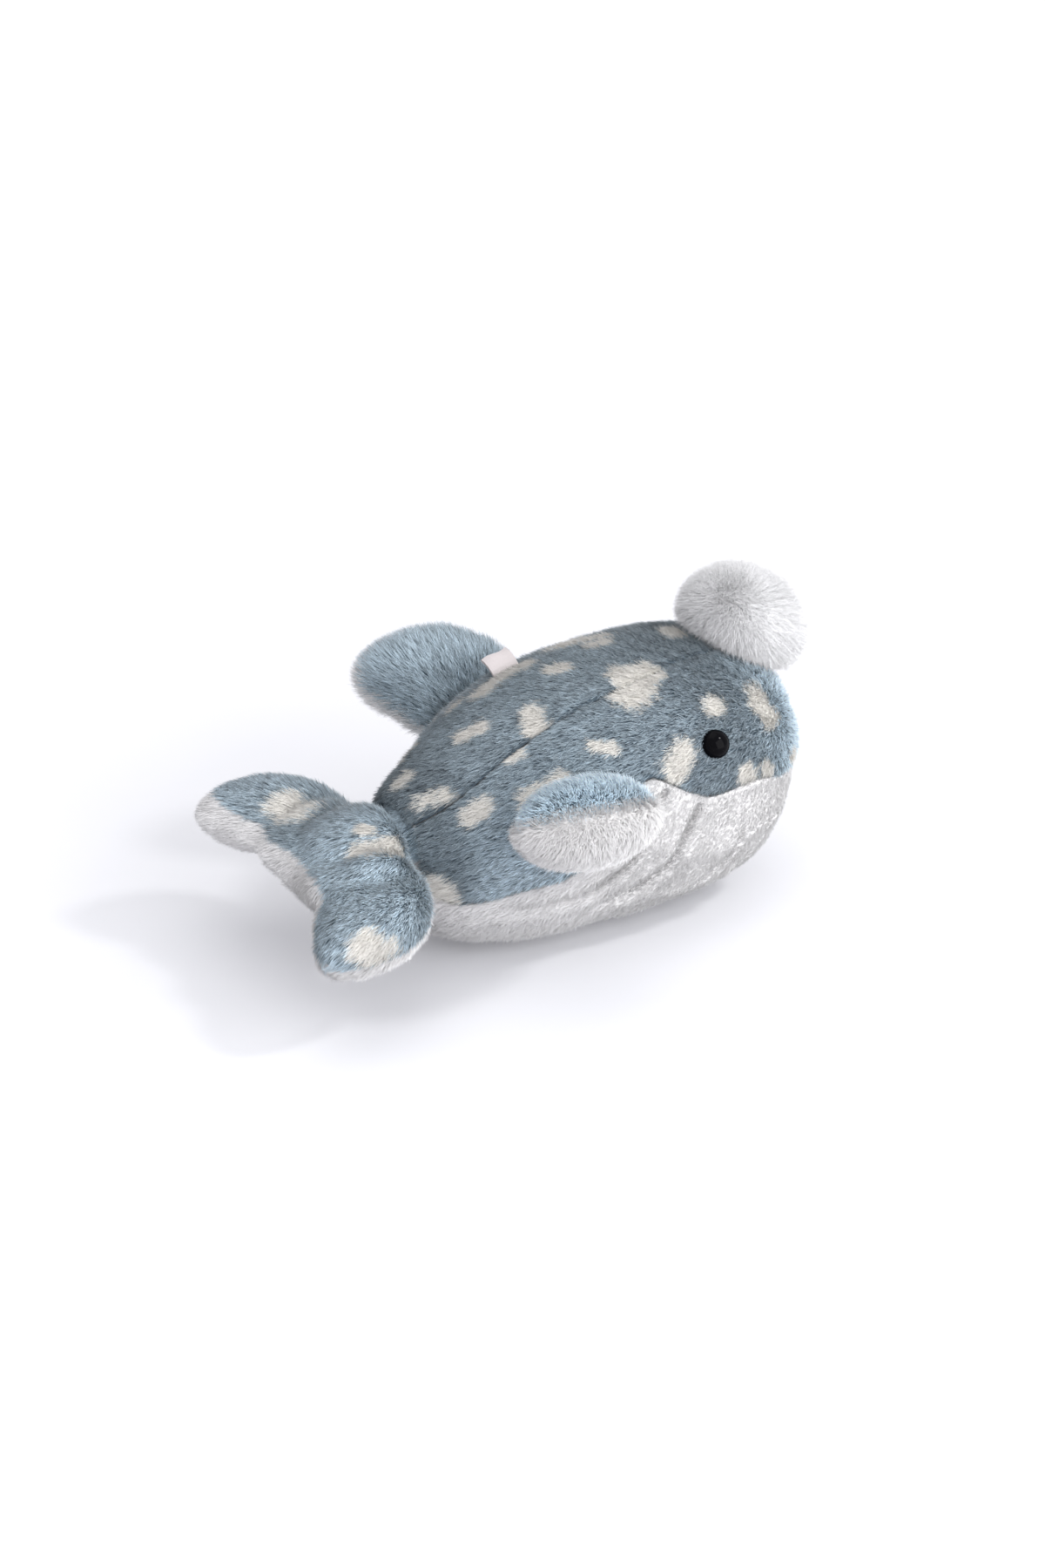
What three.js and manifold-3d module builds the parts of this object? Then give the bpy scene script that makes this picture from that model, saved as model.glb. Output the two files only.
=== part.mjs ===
// A soft plush whale lying on its belly: nose towards +X, its right side towards -Y, +Z up.
// The origin is the middle of the flat patch under the belly. All lengths are millimetres.
import * as THREE from 'three';
import Module from 'manifold-3d';
import { mergeVertices } from 'three/addons/utils/BufferGeometryUtils.js';

const wasm = await Module();
wasm.setup();

// Trunk: head and body in one egg, from the nose to the root of the tail
const trunk_length = 176;
const trunk_width = 112;
const trunk_height = 109;
const nose_reach = 94;
const tail_root_x = nose_reach - trunk_length;
const rest_flat_depth = 0.5;

// Share of the length behind the nose, of the half width, and of the height to top and underside
const trunk_station_shares = [
  [0, 0.03, 0.53, 0.5],
  [0.012, 0.3, 0.67, 0.37],
  [0.045, 0.55, 0.815, 0.25],
  [0.105, 0.76, 0.92, 0.14],
  [0.19, 0.91, 0.975, 0.055],
  [0.3, 0.985, 1, 0.014],
  [0.42, 1, 1, 0],
  [0.54, 0.98, 0.99, 0],
  [0.66, 0.93, 0.96, 0],
  [0.78, 0.83, 0.875, 0.012],
  [0.88, 0.685, 0.765, 0.05],
  [0.95, 0.55, 0.695, 0.105],
  [0.985, 0.46, 0.66, 0.18],
  [1, 0.39, 0.63, 0.28],
];
// Seams against the share of the length, as shares of a half turn from the top of the back:
// the edge of the back strip, and the edge between the blue sides and the white belly
const seam_turn_shares = [
  [0, 0.06, 0.47],
  [0.06, 0.06, 0.48],
  [0.125, 0.062, 0.485],
  [0.2, 0.068, 0.45],
  [0.28, 0.08, 0.445],
  [0.36, 0.092, 0.445],
  [0.44, 0.105, 0.4],
  [0.505, 0.116, 0.35],
  [0.56, 0.126, 0.4],
  [0.62, 0.135, 0.49],
  [0.7, 0.145, 0.54],
  [0.83, 0.16, 0.55],
  [0.94, 0.185, 0.59],
  [1, 0.2, 0.61],
];
const section_roundness_share = 0.93;

// Fabric skin with its pile brushed down, and the filling inside it
const skin_thickness = 3;
const seam_gap = 0.3;
const stuffing_clearance = 0.8;
const least_inset_share = 0.3;
const least_stuffing_share = 0.15;

// Pleats sewn into the white throat, as steps that overlap like shingles
const pleat_depth = 2;
const pleat_end_share = 0.66;
const pleat_fade_share = 0.2;
const pleat_spread_share = 0.78;
const pleat_rise_share = 0.85;
const pleat_first_share = 0.42;
const pleat_count = 5;
const pleat_middle_share = 0.5;
const pleat_hem_share = 0.09;
const pleat_press_side_share = 0.88;
const pleat_press_along_share = 0.38;

// Glossy safety eyes: a dome on a ribbed stem, held by a washer behind the fabric
const eye_radius = 6;
const eye_height = 4.4;
const eye_rim = 0.8;
const eye_stem_radius = 1.9;
const eye_stem_length = 11;
const eye_stem_rib = 0.35;
const eye_stem_ribs = 3;
const eye_back_share = 0.93;
const eye_washer_radius = 7;
const eye_washer_thickness = 1.4;
const eye_along_share = 0.33;
const eye_turn_share = 0.325;
const fit_clearance = 0.3;

// Pompon on top of the head: a gathered ball of long-haired fabric on a short neck
const pompon_radius = 19;
const pompon_skin = 2.4;
const pompon_lift = 11;
const pompon_base_lift = 3;
const pompon_neck_radius = 5;
const pompon_mouth_radius = 3;
const pompon_along_share = 0.12;
const pompon_mouth_lift = 0.9;
const pompon_thread_radius = 0.6;

// Flippers: fat paddles sewn into the sides along a flat seam
const flipper_reach = 36;
const flipper_root_chord = 40;
const flipper_chord = 54;
const flipper_thickness = 31;
const flipper_sweep = 21;
const flipper_along_share = 0.66;
const flipper_turn_share = 0.41;
const flipper_root_gap = 0.8;
const flipper_yaw = THREE.MathUtils.degToRad(8);
const flipper_right_rise = THREE.MathUtils.degToRad(32);
const flipper_left_rise = THREE.MathUtils.degToRad(42);
const flipper_skin = 2.4;

// Paddle of a flipper or fluke: shares of its reach, chord, thickness and sweep
const paddle_station_shares = [
  [0, 0.72, 0.03, 0],
  [0.07, 0.76, 0.2, 0.03],
  [0.18, 0.84, 0.52, 0.1],
  [0.32, 0.94, 0.84, 0.22],
  [0.48, 1, 1, 0.38],
  [0.64, 0.99, 1, 0.57],
  [0.78, 0.9, 0.9, 0.75],
  [0.89, 0.72, 0.72, 0.89],
  [0.965, 0.44, 0.46, 0.97],
  [1, 0.04, 0.05, 1],
];
const paddle_root_share = 0.5;

// Tail: a hub that bends at the root, with two fat flukes
const tail_root_height_share = 0.465;
const tail_hub_length = 42;
const tail_hub_width = 45;
const tail_hub_height = 33;
const tail_ball_radius = 12.5;
const tail_ball_clearance = 0.5;
const tail_skin = 2.4;
const tail_ball_wrap_share = 0.58;
const fluke_reach = 40;
const fluke_root_chord = 43;
const fluke_chord = 50;
const fluke_thickness = 25;
const fluke_sweep = 17;
const fluke_root_share = 0.66;
const fluke_root_gap = 0.8;
const fluke_right_rise = THREE.MathUtils.degToRad(-18);
const fluke_left_rise = THREE.MathUtils.degToRad(6);

// Hub of the tail: share of its length behind the hinge, of its half width and half height
const hub_station_shares = [
  [0.15, 0.86, 0.9],
  [0.26, 0.96, 0.99],
  [0.45, 1, 1],
  [0.66, 1, 0.9],
  [0.84, 0.86, 0.72],
  [0.95, 0.55, 0.45],
  [1, 0.05, 0.06],
];

// Folded satin ribbon sewn into the left edge of the back strip
const label_width = 12;
const label_height = 10;
const label_thickness = 0.6;
const label_fold_radius = 1;
const label_seam_lift = 0.3;
const label_along_share = 0.645;

// How finely the surfaces are divided
const trunk_rows = 40;
const trunk_inner_rows = 20;
const back_columns = 8;
const back_inner_columns = 4;
const side_columns = 8;
const side_inner_columns = 4;
const belly_columns = 26;
const belly_inner_columns = 8;
const paddle_rows = 12;
const paddle_inner_rows = 7;
const paddle_columns = 8;
const hub_rows = 7;
const hub_columns = 8;
const ball_steps = 6;
const round_sides = 20;
const small_sides = 12;
const dome_steps = 5;
const pompon_steps = 9;
const thread_sides = 6;
const fold_steps = 4;
const table_halvings = 26;
const nudge = 1e-3;

const half_turn = Math.PI;
const full_turn = 2 * half_turn;
const quarter_turn = half_turn / 2;

const pile_blue = new THREE.MeshStandardMaterial({ color: 0x8fa7b0, roughness: 0.95, metalness: 0 });
const pile_white = new THREE.MeshStandardMaterial({ color: 0xf1eeea, roughness: 0.95, metalness: 0 });
const long_pile = new THREE.MeshStandardMaterial({ color: 0xf7f6f6, roughness: 0.9, metalness: 0 });
const filling = new THREE.MeshStandardMaterial({ color: 0xfbfaf6, roughness: 1, metalness: 0 });
const gloss_black = new THREE.MeshStandardMaterial({ color: 0x07080c, roughness: 0.08, metalness: 0 });
const washer_white = new THREE.MeshStandardMaterial({ color: 0xe6e6e2, roughness: 0.5, metalness: 0 });
const satin = new THREE.MeshStandardMaterial({ color: 0xf3e9e6, roughness: 0.45, metalness: 0 });
const thread_white = new THREE.MeshStandardMaterial({ color: 0xf0efec, roughness: 0.8, metalness: 0 });

const whale = new THREE.Group();

// A closed body from points and triangles, with its faces turned outwards
function closedGeometry(points, triangles) {
  let volume = 0;
  for (const [a, b, c] of triangles) {
    volume += points[a].dot(new THREE.Vector3().crossVectors(points[b], points[c]));
  }
  const order = volume < 0 ? ([a, b, c]) => [a, c, b] : (triangle) => triangle;
  const geometry = new THREE.BufferGeometry();
  const places = points.flatMap((point) => point.toArray());
  geometry.setAttribute('position', new THREE.Float32BufferAttribute(places, 3));
  geometry.setIndex(triangles.flatMap(order));
  geometry.computeVertexNormals();
  return geometry;
}

// Solid through a list of rings with equal numbers of points, closed by a fan at each end
function loft(rings) {
  const around = rings[0].length;
  const points = rings.flat();
  const triangles = [];
  for (let ring = 0; ring + 1 < rings.length; ring += 1) {
    for (let step = 0; step < around; step += 1) {
      const next = (step + 1) % around;
      const [a, b] = [ring * around + step, ring * around + next];
      triangles.push([a, b, b + around], [a, b + around, a + around]);
    }
  }
  for (const ring of [0, rings.length - 1]) {
    const hub = points.length;
    const middle = new THREE.Vector3();
    rings[ring].forEach((point) => middle.addScaledVector(point, 1 / around));
    points.push(middle);
    for (let step = 0; step < around; step += 1) {
      const [a, b] = [ring * around + step, ring * around + (step + 1) % around];
      triangles.push(ring === 0 ? [hub, b, a] : [hub, a, b]);
    }
  }
  return closedGeometry(points, triangles);
}

// Grid of points over the unit square, as rows of columns
function gridOf(surface, rows, columns) {
  const grid = [];
  for (let row = 0; row <= rows; row += 1) {
    const line = [];
    for (let column = 0; column <= columns; column += 1) {
      line.push(surface(row / rows, column / columns));
    }
    grid.push(line);
  }
  return grid;
}

// Fabric panel: a fine outer face, a coarser inner face, and the edge between them
function panel(outer, inner) {
  const points = [];
  const triangles = [];
  const edges = [outer, inner].map((grid, face) => {
    const first = points.length;
    const rows = grid.length - 1;
    const columns = grid[0].length - 1;
    const at = (row, column) => first + row * (columns + 1) + column;
    grid.forEach((line) => points.push(...line));
    for (let row = 0; row < rows; row += 1) {
      for (let column = 0; column < columns; column += 1) {
        const [a, b] = [at(row, column), at(row, column + 1)];
        const [c, d] = [at(row + 1, column + 1), at(row + 1, column)];
        triangles.push(...(face === 0 ? [[a, b, c], [a, c, d]] : [[c, b, a], [d, c, a]]));
      }
    }
    const sides = [
      Array.from({ length: columns + 1 }, (_, step) => at(0, step)),
      Array.from({ length: rows + 1 }, (_, step) => at(step, columns)),
      Array.from({ length: columns + 1 }, (_, step) => at(rows, step)),
      Array.from({ length: rows + 1 }, (_, step) => at(step, 0)),
    ];
    return sides;
  });
  for (let side = 0; side < edges[0].length; side += 1) {
    const [far, near] = [edges[0][side], edges[1][side]];
    const turn = side < 2 ? (triangle) => triangle : ([a, b, c]) => [a, c, b];
    let [i, j] = [0, 0];
    while (i + 1 < far.length || j + 1 < near.length) {
      const outer_next = (i + 1) / (far.length - 1);
      const inner_next = (j + 1) / (near.length - 1);
      if (outer_next <= inner_next) {
        triangles.push(turn([far[i + 1], far[i], near[j]]));
        i += 1;
      } else {
        triangles.push(turn([near[j], near[j + 1], far[i]]));
        j += 1;
      }
    }
  }
  return closedGeometry(points, triangles);
}

// Exact joins and cuts
function solidOf(geometry) {
  const bare = geometry.clone();
  bare.deleteAttribute('normal');
  bare.deleteAttribute('uv');
  const merged = mergeVertices(bare);
  return new wasm.Manifold(new wasm.Mesh({
    numProp: 3,
    vertProperties: new Float32Array(merged.attributes.position.array),
    triVerts: new Uint32Array(merged.index.array),
  }));
}

function geometryOf(solid) {
  const mesh = solid.getMesh();
  const geometry = new THREE.BufferGeometry();
  geometry.setAttribute('position', new THREE.Float32BufferAttribute(mesh.vertProperties, 3));
  geometry.setIndex(Array.from(mesh.triVerts));
  geometry.computeVertexNormals();
  return geometry;
}

function cut(geometry, tools) {
  return geometryOf(tools.reduce((solid, tool) => solid.subtract(solidOf(tool)), solidOf(geometry)));
}

function add(parent, name, geometry, material) {
  const mesh = new THREE.Mesh(geometry, material);
  mesh.name = name;
  parent.add(mesh);
  return mesh;
}

// Values listed against a share that only grows, read anywhere between on one smooth curve
function smoothTable(rows) {
  const points = rows.map((row) => new THREE.Vector3(...row));
  const curve = new THREE.CatmullRomCurve3(points, false, 'catmullrom');
  return (share) => {
    let [low, high] = [0, 1];
    for (let step = 0; step < table_halvings; step += 1) {
      const middle = (low + high) / 2;
      [low, high] = curve.getPoint(middle).x < share ? [middle, high] : [low, middle];
    }
    return curve.getPoint((low + high) / 2).toArray();
  };
}

function roundedPower(value) {
  return Math.sign(value) * Math.abs(value) ** section_roundness_share;
}

const trunkPlan = smoothTable(trunk_station_shares.map(([along, half]) => [along, half, 0]));
const trunkSide = smoothTable(trunk_station_shares.map(([along, , top, under]) => [along, top, under]));
const trunkSeams = smoothTable(seam_turn_shares);

// Point of the trunk at a station, at an angle from the top towards the right side
function trunkPoint(along, angle, inset = 0, least_share = least_inset_share) {
  const [, half_share] = trunkPlan(along);
  const [, top_share, under_share] = trunkSide(along);
  const shrink = 1 - inset / trunk_length;
  const half_width = half_share * trunk_width / 2;
  const half_height = (top_share - under_share) * trunk_height / 2;
  const middle = (top_share + under_share) * trunk_height / 2;
  const wide = Math.max(half_width - inset, half_width * least_share);
  const tall = Math.max(half_height - inset, half_height * least_share);
  return new THREE.Vector3(
    tail_root_x + (1 - along) * trunk_length * shrink,
    -wide * roundedPower(Math.sin(angle)),
    middle - rest_flat_depth + tall * roundedPower(Math.cos(angle)),
  );
}

function trunkNormal(along, angle) {
  const back = trunkPoint(along + nudge, angle).sub(trunkPoint(along - nudge, angle));
  const across = trunkPoint(along, angle + nudge).sub(trunkPoint(along, angle - nudge));
  return new THREE.Vector3().crossVectors(back, across).normalize();
}

// How far a pleat sinks in: each rises slowly from the one in front and drops at its edge,
// all are sewn flat into the seams, and the whale's weight presses them flat where it rests
function pleatRelief(along, belly_share) {
  const back = Math.max(0, pleat_end_share - along) / pleat_end_share / pleat_spread_share;
  const side = 1 - Math.abs(belly_share / pleat_middle_share - 1);
  const reach = Math.hypot(back, side / pleat_rise_share);
  const phase = (reach - pleat_first_share) * pleat_count;
  if (phase < 0) {
    return 0;
  }
  const rise = 1 - (phase - Math.floor(phase));
  const fade = 1 - THREE.MathUtils.smoothstep(along, pleat_end_share - pleat_fade_share, pleat_end_share);
  const hem = Math.min(1, side / pleat_hem_share);
  const { smoothstep } = THREE.MathUtils;
  const under = smoothstep(side, pleat_press_side_share - pleat_hem_share, pleat_press_side_share);
  const behind = smoothstep(along, pleat_press_along_share - pleat_hem_share, pleat_press_along_share);
  return pleat_depth * (rise - 1) * fade * hem * (1 - under * behind);
}

// Rows lie closer together towards the nose and the tail, where the trunk turns fastest
const trunkRow = (share) => (1 - Math.cos(share * half_turn)) / 2;

// Angle at a share of the way across a panel, kept half a seam gap inside its two seams
function panelAngle(from, to, along, share) {
  const [, half_share] = trunkPlan(along);
  const radius = Math.max(half_share * trunk_width / 2, seam_gap);
  const trim = Math.min(seam_gap / 2 / radius, Math.abs(to - from) / 4);
  const sign = Math.sign(to - from);
  return THREE.MathUtils.lerp(from + sign * trim, to - sign * trim, share);
}

function trunkPanel(seams, columns, inner_columns, relief = () => 0) {
  const place = (inset) => (row, share) => {
    const along = trunkRow(row);
    const [from, to] = seams(along);
    const lift = inset > 0 ? 0 : relief(along, share);
    return trunkPoint(along, panelAngle(from, to, along, share), inset - lift);
  };
  const outer = gridOf(place(0), trunk_rows, columns);
  const inner = gridOf(place(skin_thickness), trunk_inner_rows, inner_columns);
  return panel(outer, inner);
}

const seamAngles = (along) => trunkSeams(along).slice(1).map((share) => share * half_turn);
const backSeams = (along) => [-seamAngles(along)[0], seamAngles(along)[0]];
const rightSeams = (along) => [seamAngles(along)[0], seamAngles(along)[1]];
const leftSeams = (along) => [-seamAngles(along)[1], -seamAngles(along)[0]];
const bellySeams = (along) => [seamAngles(along)[1], full_turn - seamAngles(along)[1]];

// Group standing on the trunk with its own +Z along the trunk's outward normal
function seatOnTrunk(along, angle, lift) {
  const seat = new THREE.Group();
  const normal = trunkNormal(along, angle);
  seat.position.copy(trunkPoint(along, angle)).addScaledVector(normal, lift);
  seat.quaternion.setFromUnitVectors(new THREE.Vector3(0, 0, 1), normal);
  seat.updateMatrixWorld(true);
  whale.add(seat);
  return seat;
}

// Solid of revolution about +Z from a list of radius and height
function turned(profile, sides) {
  const outline = profile.map(([radius, height]) => new THREE.Vector2(radius, height));
  const geometry = new THREE.LatheGeometry(outline, sides);
  geometry.rotateX(quarter_turn);
  return geometry;
}

// Cylinder about +Z
function rod(radius, low, high, sides) {
  return turned([[0, low], [radius, low], [radius, high], [0, high]], sides);
}

function eyeProfile() {
  const points = [[0, eye_height]];
  for (let step = 1; step <= dome_steps; step += 1) {
    const angle = step / dome_steps * quarter_turn;
    points.push([eye_radius * Math.sin(angle), eye_rim + (eye_height - eye_rim) * Math.cos(angle)]);
  }
  points.push([eye_radius * eye_back_share, 0], [eye_stem_radius, 0]);
  const rib_pitch = eye_stem_length / (eye_stem_ribs + 1);
  for (let rib = 1; rib <= eye_stem_ribs; rib += 1) {
    const depth = -rib * rib_pitch;
    points.push([eye_stem_radius, depth + rib_pitch / 2], [eye_stem_radius - eye_stem_rib, depth]);
  }
  points.push([eye_stem_radius - eye_stem_rib, -eye_stem_length], [0, -eye_stem_length]);
  return points.reverse();
}

const washer_depth = skin_thickness + fit_clearance + eye_washer_thickness + fit_clearance;
const eye_seats = [1, -1].map((side) => {
  const side_name = side > 0 ? 'right' : 'left';
  const seat = seatOnTrunk(eye_along_share, side * eye_turn_share * half_turn, fit_clearance);
  add(seat, `eye_${side_name}`, turned(eyeProfile(), round_sides), gloss_black);
  const washer = turned([
    [eye_stem_radius + fit_clearance, -washer_depth],
    [eye_washer_radius, -washer_depth],
    [eye_washer_radius, eye_washer_thickness - washer_depth],
    [eye_stem_radius + fit_clearance, eye_washer_thickness - washer_depth],
    [eye_stem_radius + fit_clearance, -washer_depth],
  ], round_sides);
  add(seat, `eye_washer_${side_name}`, washer, washer_white);
  return seat;
});

// The stem's hole through the skin, and the hollows that the washer presses into skin and filling
function seated(geometry, seat) {
  return geometry.applyMatrix4(seat.matrixWorld);
}
const stemHole = (seat) => seated(
  rod(eye_stem_radius + fit_clearance, -washer_depth, eye_height, small_sides), seat);
const washerRecess = (seat) => seated(
  rod(eye_washer_radius + fit_clearance, -eye_stem_length, -skin_thickness - fit_clearance, round_sides), seat);
const eyeCuts = (seat) => [stemHole(seat), washerRecess(seat)];
const stemPocket = (seat) => seated(
  rod(eye_washer_radius + fit_clearance, -eye_stem_length - fit_clearance, eye_height, round_sides), seat);

// Skin panels and filling of the trunk
const below_rest = new THREE.BoxGeometry(2 * trunk_length, 2 * trunk_width, trunk_height);
below_rest.translate(0, 0, -trunk_height / 2);
add(whale, 'back_panel', trunkPanel(backSeams, back_columns, back_inner_columns), pile_blue);
add(whale, 'side_panel_right',
  cut(trunkPanel(rightSeams, side_columns, side_inner_columns), eyeCuts(eye_seats[0])), pile_blue);
add(whale, 'side_panel_left',
  cut(trunkPanel(leftSeams, side_columns, side_inner_columns), eyeCuts(eye_seats[1])), pile_blue);
add(whale, 'belly_panel',
  cut(trunkPanel(bellySeams, belly_columns, belly_inner_columns, pleatRelief), [below_rest]), pile_white);

function stuffingRings() {
  const inset = skin_thickness + stuffing_clearance;
  const rings = [];
  for (let row = 0; row <= trunk_inner_rows; row += 1) {
    const along = trunkRow(row / trunk_inner_rows);
    const ring = [];
    const spans = [[backSeams, back_inner_columns], [rightSeams, side_inner_columns],
      [bellySeams, belly_inner_columns], [leftSeams, side_inner_columns]];
    for (const [seams, columns] of spans) {
      const [from, to] = seams(along);
      for (let column = 0; column < columns; column += 1) {
        const angle = THREE.MathUtils.lerp(from, to, column / columns);
        ring.push(trunkPoint(along, angle, inset, least_stuffing_share));
      }
    }
    rings.push(ring);
  }
  return rings;
}

// Hinge of the tail, in the middle of the trunk's open end
const tail_root_z = tail_root_height_share * trunk_height - rest_flat_depth;
const socket_radius = tail_ball_radius + tail_ball_clearance;
const ball_socket = new THREE.SphereGeometry(socket_radius, round_sides, small_sides);
ball_socket.translate(tail_root_x, 0, tail_root_z);
const trunk_hollows = [...eye_seats.map(stemPocket), ball_socket];
add(whale, 'trunk_stuffing', cut(loft(stuffingRings()), trunk_hollows), filling);

// Pompon, leaning over the forehead on a neck whose tip is the point it tilts about
const pompon_seat = seatOnTrunk(pompon_along_share, 0, fit_clearance);
function pomponProfile(inset) {
  const radius = pompon_radius - inset;
  const base = pompon_base_lift + inset;
  const rim_angle = Math.acos(THREE.MathUtils.clamp((base - pompon_lift) / radius, -1, 1));
  const points = [];
  for (let step = 0; step <= pompon_steps; step += 1) {
    const angle = rim_angle * step / pompon_steps;
    points.push([radius * Math.sin(angle), pompon_lift + radius * Math.cos(angle)]);
  }
  return points;
}
const pompon_neck = [
  [pompon_neck_radius, pompon_base_lift],
  [pompon_mouth_radius, pompon_mouth_lift],
  [pompon_mouth_radius - pompon_skin / 2, 0],
];
const pompon_inner = pomponProfile(pompon_skin);
add(pompon_seat, 'pompon_cover', turned([
  ...pomponProfile(0),
  ...pompon_neck,
  [pompon_mouth_radius - pompon_skin / 2, pompon_base_lift + pompon_skin],
  ...pompon_inner.toReversed(),
].toReversed(), round_sides), long_pile);
add(pompon_seat, 'pompon_filling', turned([
  ...pomponProfile(pompon_skin + fit_clearance),
  [0, pompon_base_lift + pompon_skin + fit_clearance],
].toReversed(), round_sides), filling);
const thread_reach = pompon_neck_radius + pompon_thread_radius + fit_clearance;
const thread_ring = new THREE.TorusGeometry(
  thread_reach, pompon_thread_radius, thread_sides, round_sides,
);
thread_ring.translate(0, 0, pompon_base_lift - pompon_thread_radius - fit_clearance);
add(pompon_seat, 'pompon_thread', thread_ring, thread_white);

const paddlePlan = smoothTable(
  paddle_station_shares.map(([reach, chord, , sweep]) => [reach, chord, sweep]),
);
const paddleBulk = smoothTable(paddle_station_shares.map(([reach, , thickness]) => [reach, thickness, 0]));

// Point of a paddle that reaches along side times -Y, at a turn from the leading edge over the top
function paddlePoint(size, side, along, angle, inset, least_share) {
  const [reach, chord_share, sweep] = paddlePlan(along);
  const [, thickness_share] = paddleBulk(along);
  const root_blend = 1 - THREE.MathUtils.smoothstep(reach, 0, paddle_root_share);
  const chord = THREE.MathUtils.lerp(size.chord, size.root_chord / paddle_station_shares[0][1], root_blend);
  const half_chord = chord_share * chord / 2;
  const half_thickness = thickness_share * size.thickness / 2;
  const wide = Math.max(half_chord - inset, half_chord * least_share);
  const tall = Math.max(half_thickness - inset, half_thickness * least_share);
  return new THREE.Vector3(
    wide * Math.cos(angle) - sweep * size.sweep,
    -side * reach * (size.reach - inset),
    tall * Math.sin(angle),
  );
}

function addPaddle(parent, names, size, side) {
  const surface = (inset, from, least_share) => (along, share) => {
    const trim = inset > 0 ? 0 : seam_gap / size.thickness;
    return paddlePoint(size, side, along, from + trim + share * (half_turn - 2 * trim), inset, least_share);
  };
  const skin = (from) => panel(
    gridOf(surface(0, from, 1), paddle_rows, paddle_columns),
    gridOf(surface(size.skin, from, least_inset_share), paddle_inner_rows, paddle_columns),
  );
  const rings = gridOf((along, share) => paddlePoint(
    size, side, along, share * full_turn, size.skin + stuffing_clearance, least_stuffing_share,
  ), paddle_inner_rows, 2 * paddle_columns).map((ring) => ring.slice(0, -1));
  const lifted = skin(0);
  lifted.translate(0, 0, seam_gap / 2);
  const lowered = skin(half_turn);
  lowered.translate(0, 0, -seam_gap / 2);
  add(parent, names.top, lifted, pile_blue);
  add(parent, names.underside, lowered, pile_white);
  add(parent, names.stuffing, loft(rings), filling);
}

for (const side of [1, -1]) {
  const side_name = side > 0 ? 'right' : 'left';
  const rise = side > 0 ? flipper_right_rise : flipper_left_rise;
  const angle = side * flipper_turn_share * half_turn;
  const root = new THREE.Group();
  root.position.copy(trunkPoint(flipper_along_share, angle));
  root.position.y -= side * flipper_root_gap;
  root.rotation.set(-side * rise, 0, -side * flipper_yaw, 'ZYX');
  whale.add(root);
  addPaddle(root, {
    top: `flipper_top_${side_name}`,
    underside: `flipper_underside_${side_name}`,
    stuffing: `flipper_stuffing_${side_name}`,
  }, {
    reach: flipper_reach,
    chord: flipper_chord,
    root_chord: flipper_root_chord,
    thickness: flipper_thickness,
    sweep: flipper_sweep,
    skin: flipper_skin,
  }, side);
}

// Hub of the tail, behind its hinge
const hubTable = smoothTable(hub_station_shares);
function hubPoint(along, angle, inset, least_share) {
  const [behind, wide_share, tall_share] = hubTable(along);
  const half_width = wide_share * tail_hub_width / 2;
  const half_height = tall_share * tail_hub_height / 2;
  return new THREE.Vector3(
    -behind * (tail_hub_length - inset),
    Math.max(half_width - inset, half_width * least_share) * Math.cos(angle),
    Math.max(half_height - inset, half_height * least_share) * Math.sin(angle),
  );
}
const tail = new THREE.Group();
tail.position.set(tail_root_x, 0, tail_root_z);
whale.add(tail);
function hubSkin(from) {
  return panel(
    gridOf((along, share) => hubPoint(along, from + share * half_turn, 0, 1), hub_rows, hub_columns),
    gridOf((along, share) => hubPoint(along, from + share * half_turn, tail_skin, least_inset_share),
      hub_rows, hub_columns),
  );
}
const hub_top = hubSkin(0);
hub_top.translate(0, 0, seam_gap / 2);
const hub_underside = hubSkin(half_turn);
hub_underside.translate(0, 0, -seam_gap / 2);
add(tail, 'tail_top_panel', hub_top, pile_blue);
add(tail, 'tail_underside_panel', hub_underside, pile_white);
const ball_rings = [];
for (let step = 1; step <= ball_steps; step += 1) {
  const angle = step / ball_steps * half_turn * tail_ball_wrap_share;
  const ring = [];
  for (let spoke = 0; spoke < 2 * hub_columns; spoke += 1) {
    const turn = spoke / (2 * hub_columns) * full_turn;
    ring.push(new THREE.Vector3(
      tail_ball_radius * Math.cos(angle),
      tail_ball_radius * Math.sin(angle) * Math.cos(turn),
      tail_ball_radius * Math.sin(angle) * Math.sin(turn),
    ));
  }
  ball_rings.push(ring);
}
const hub_rings = gridOf((along, share) => hubPoint(
  along, share * full_turn, tail_skin + stuffing_clearance, least_stuffing_share,
), hub_rows, 2 * hub_columns).map((ring) => ring.slice(0, -1));
add(tail, 'tail_stuffing', loft([...ball_rings, ...hub_rings.slice(1)]), filling);

for (const side of [1, -1]) {
  const side_name = side > 0 ? 'right' : 'left';
  const rise = side > 0 ? fluke_right_rise : fluke_left_rise;
  const root = new THREE.Group();
  root.position.set(-fluke_root_share * tail_hub_length, -side * (tail_hub_width / 2 + fluke_root_gap), 0);
  root.rotation.x = -side * rise;
  tail.add(root);
  addPaddle(root, {
    top: `fluke_top_${side_name}`,
    underside: `fluke_underside_${side_name}`,
    stuffing: `fluke_stuffing_${side_name}`,
  }, {
    reach: fluke_reach,
    chord: fluke_chord,
    root_chord: fluke_root_chord,
    thickness: fluke_thickness,
    sweep: fluke_sweep,
    skin: tail_skin,
  }, side);
}

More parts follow.
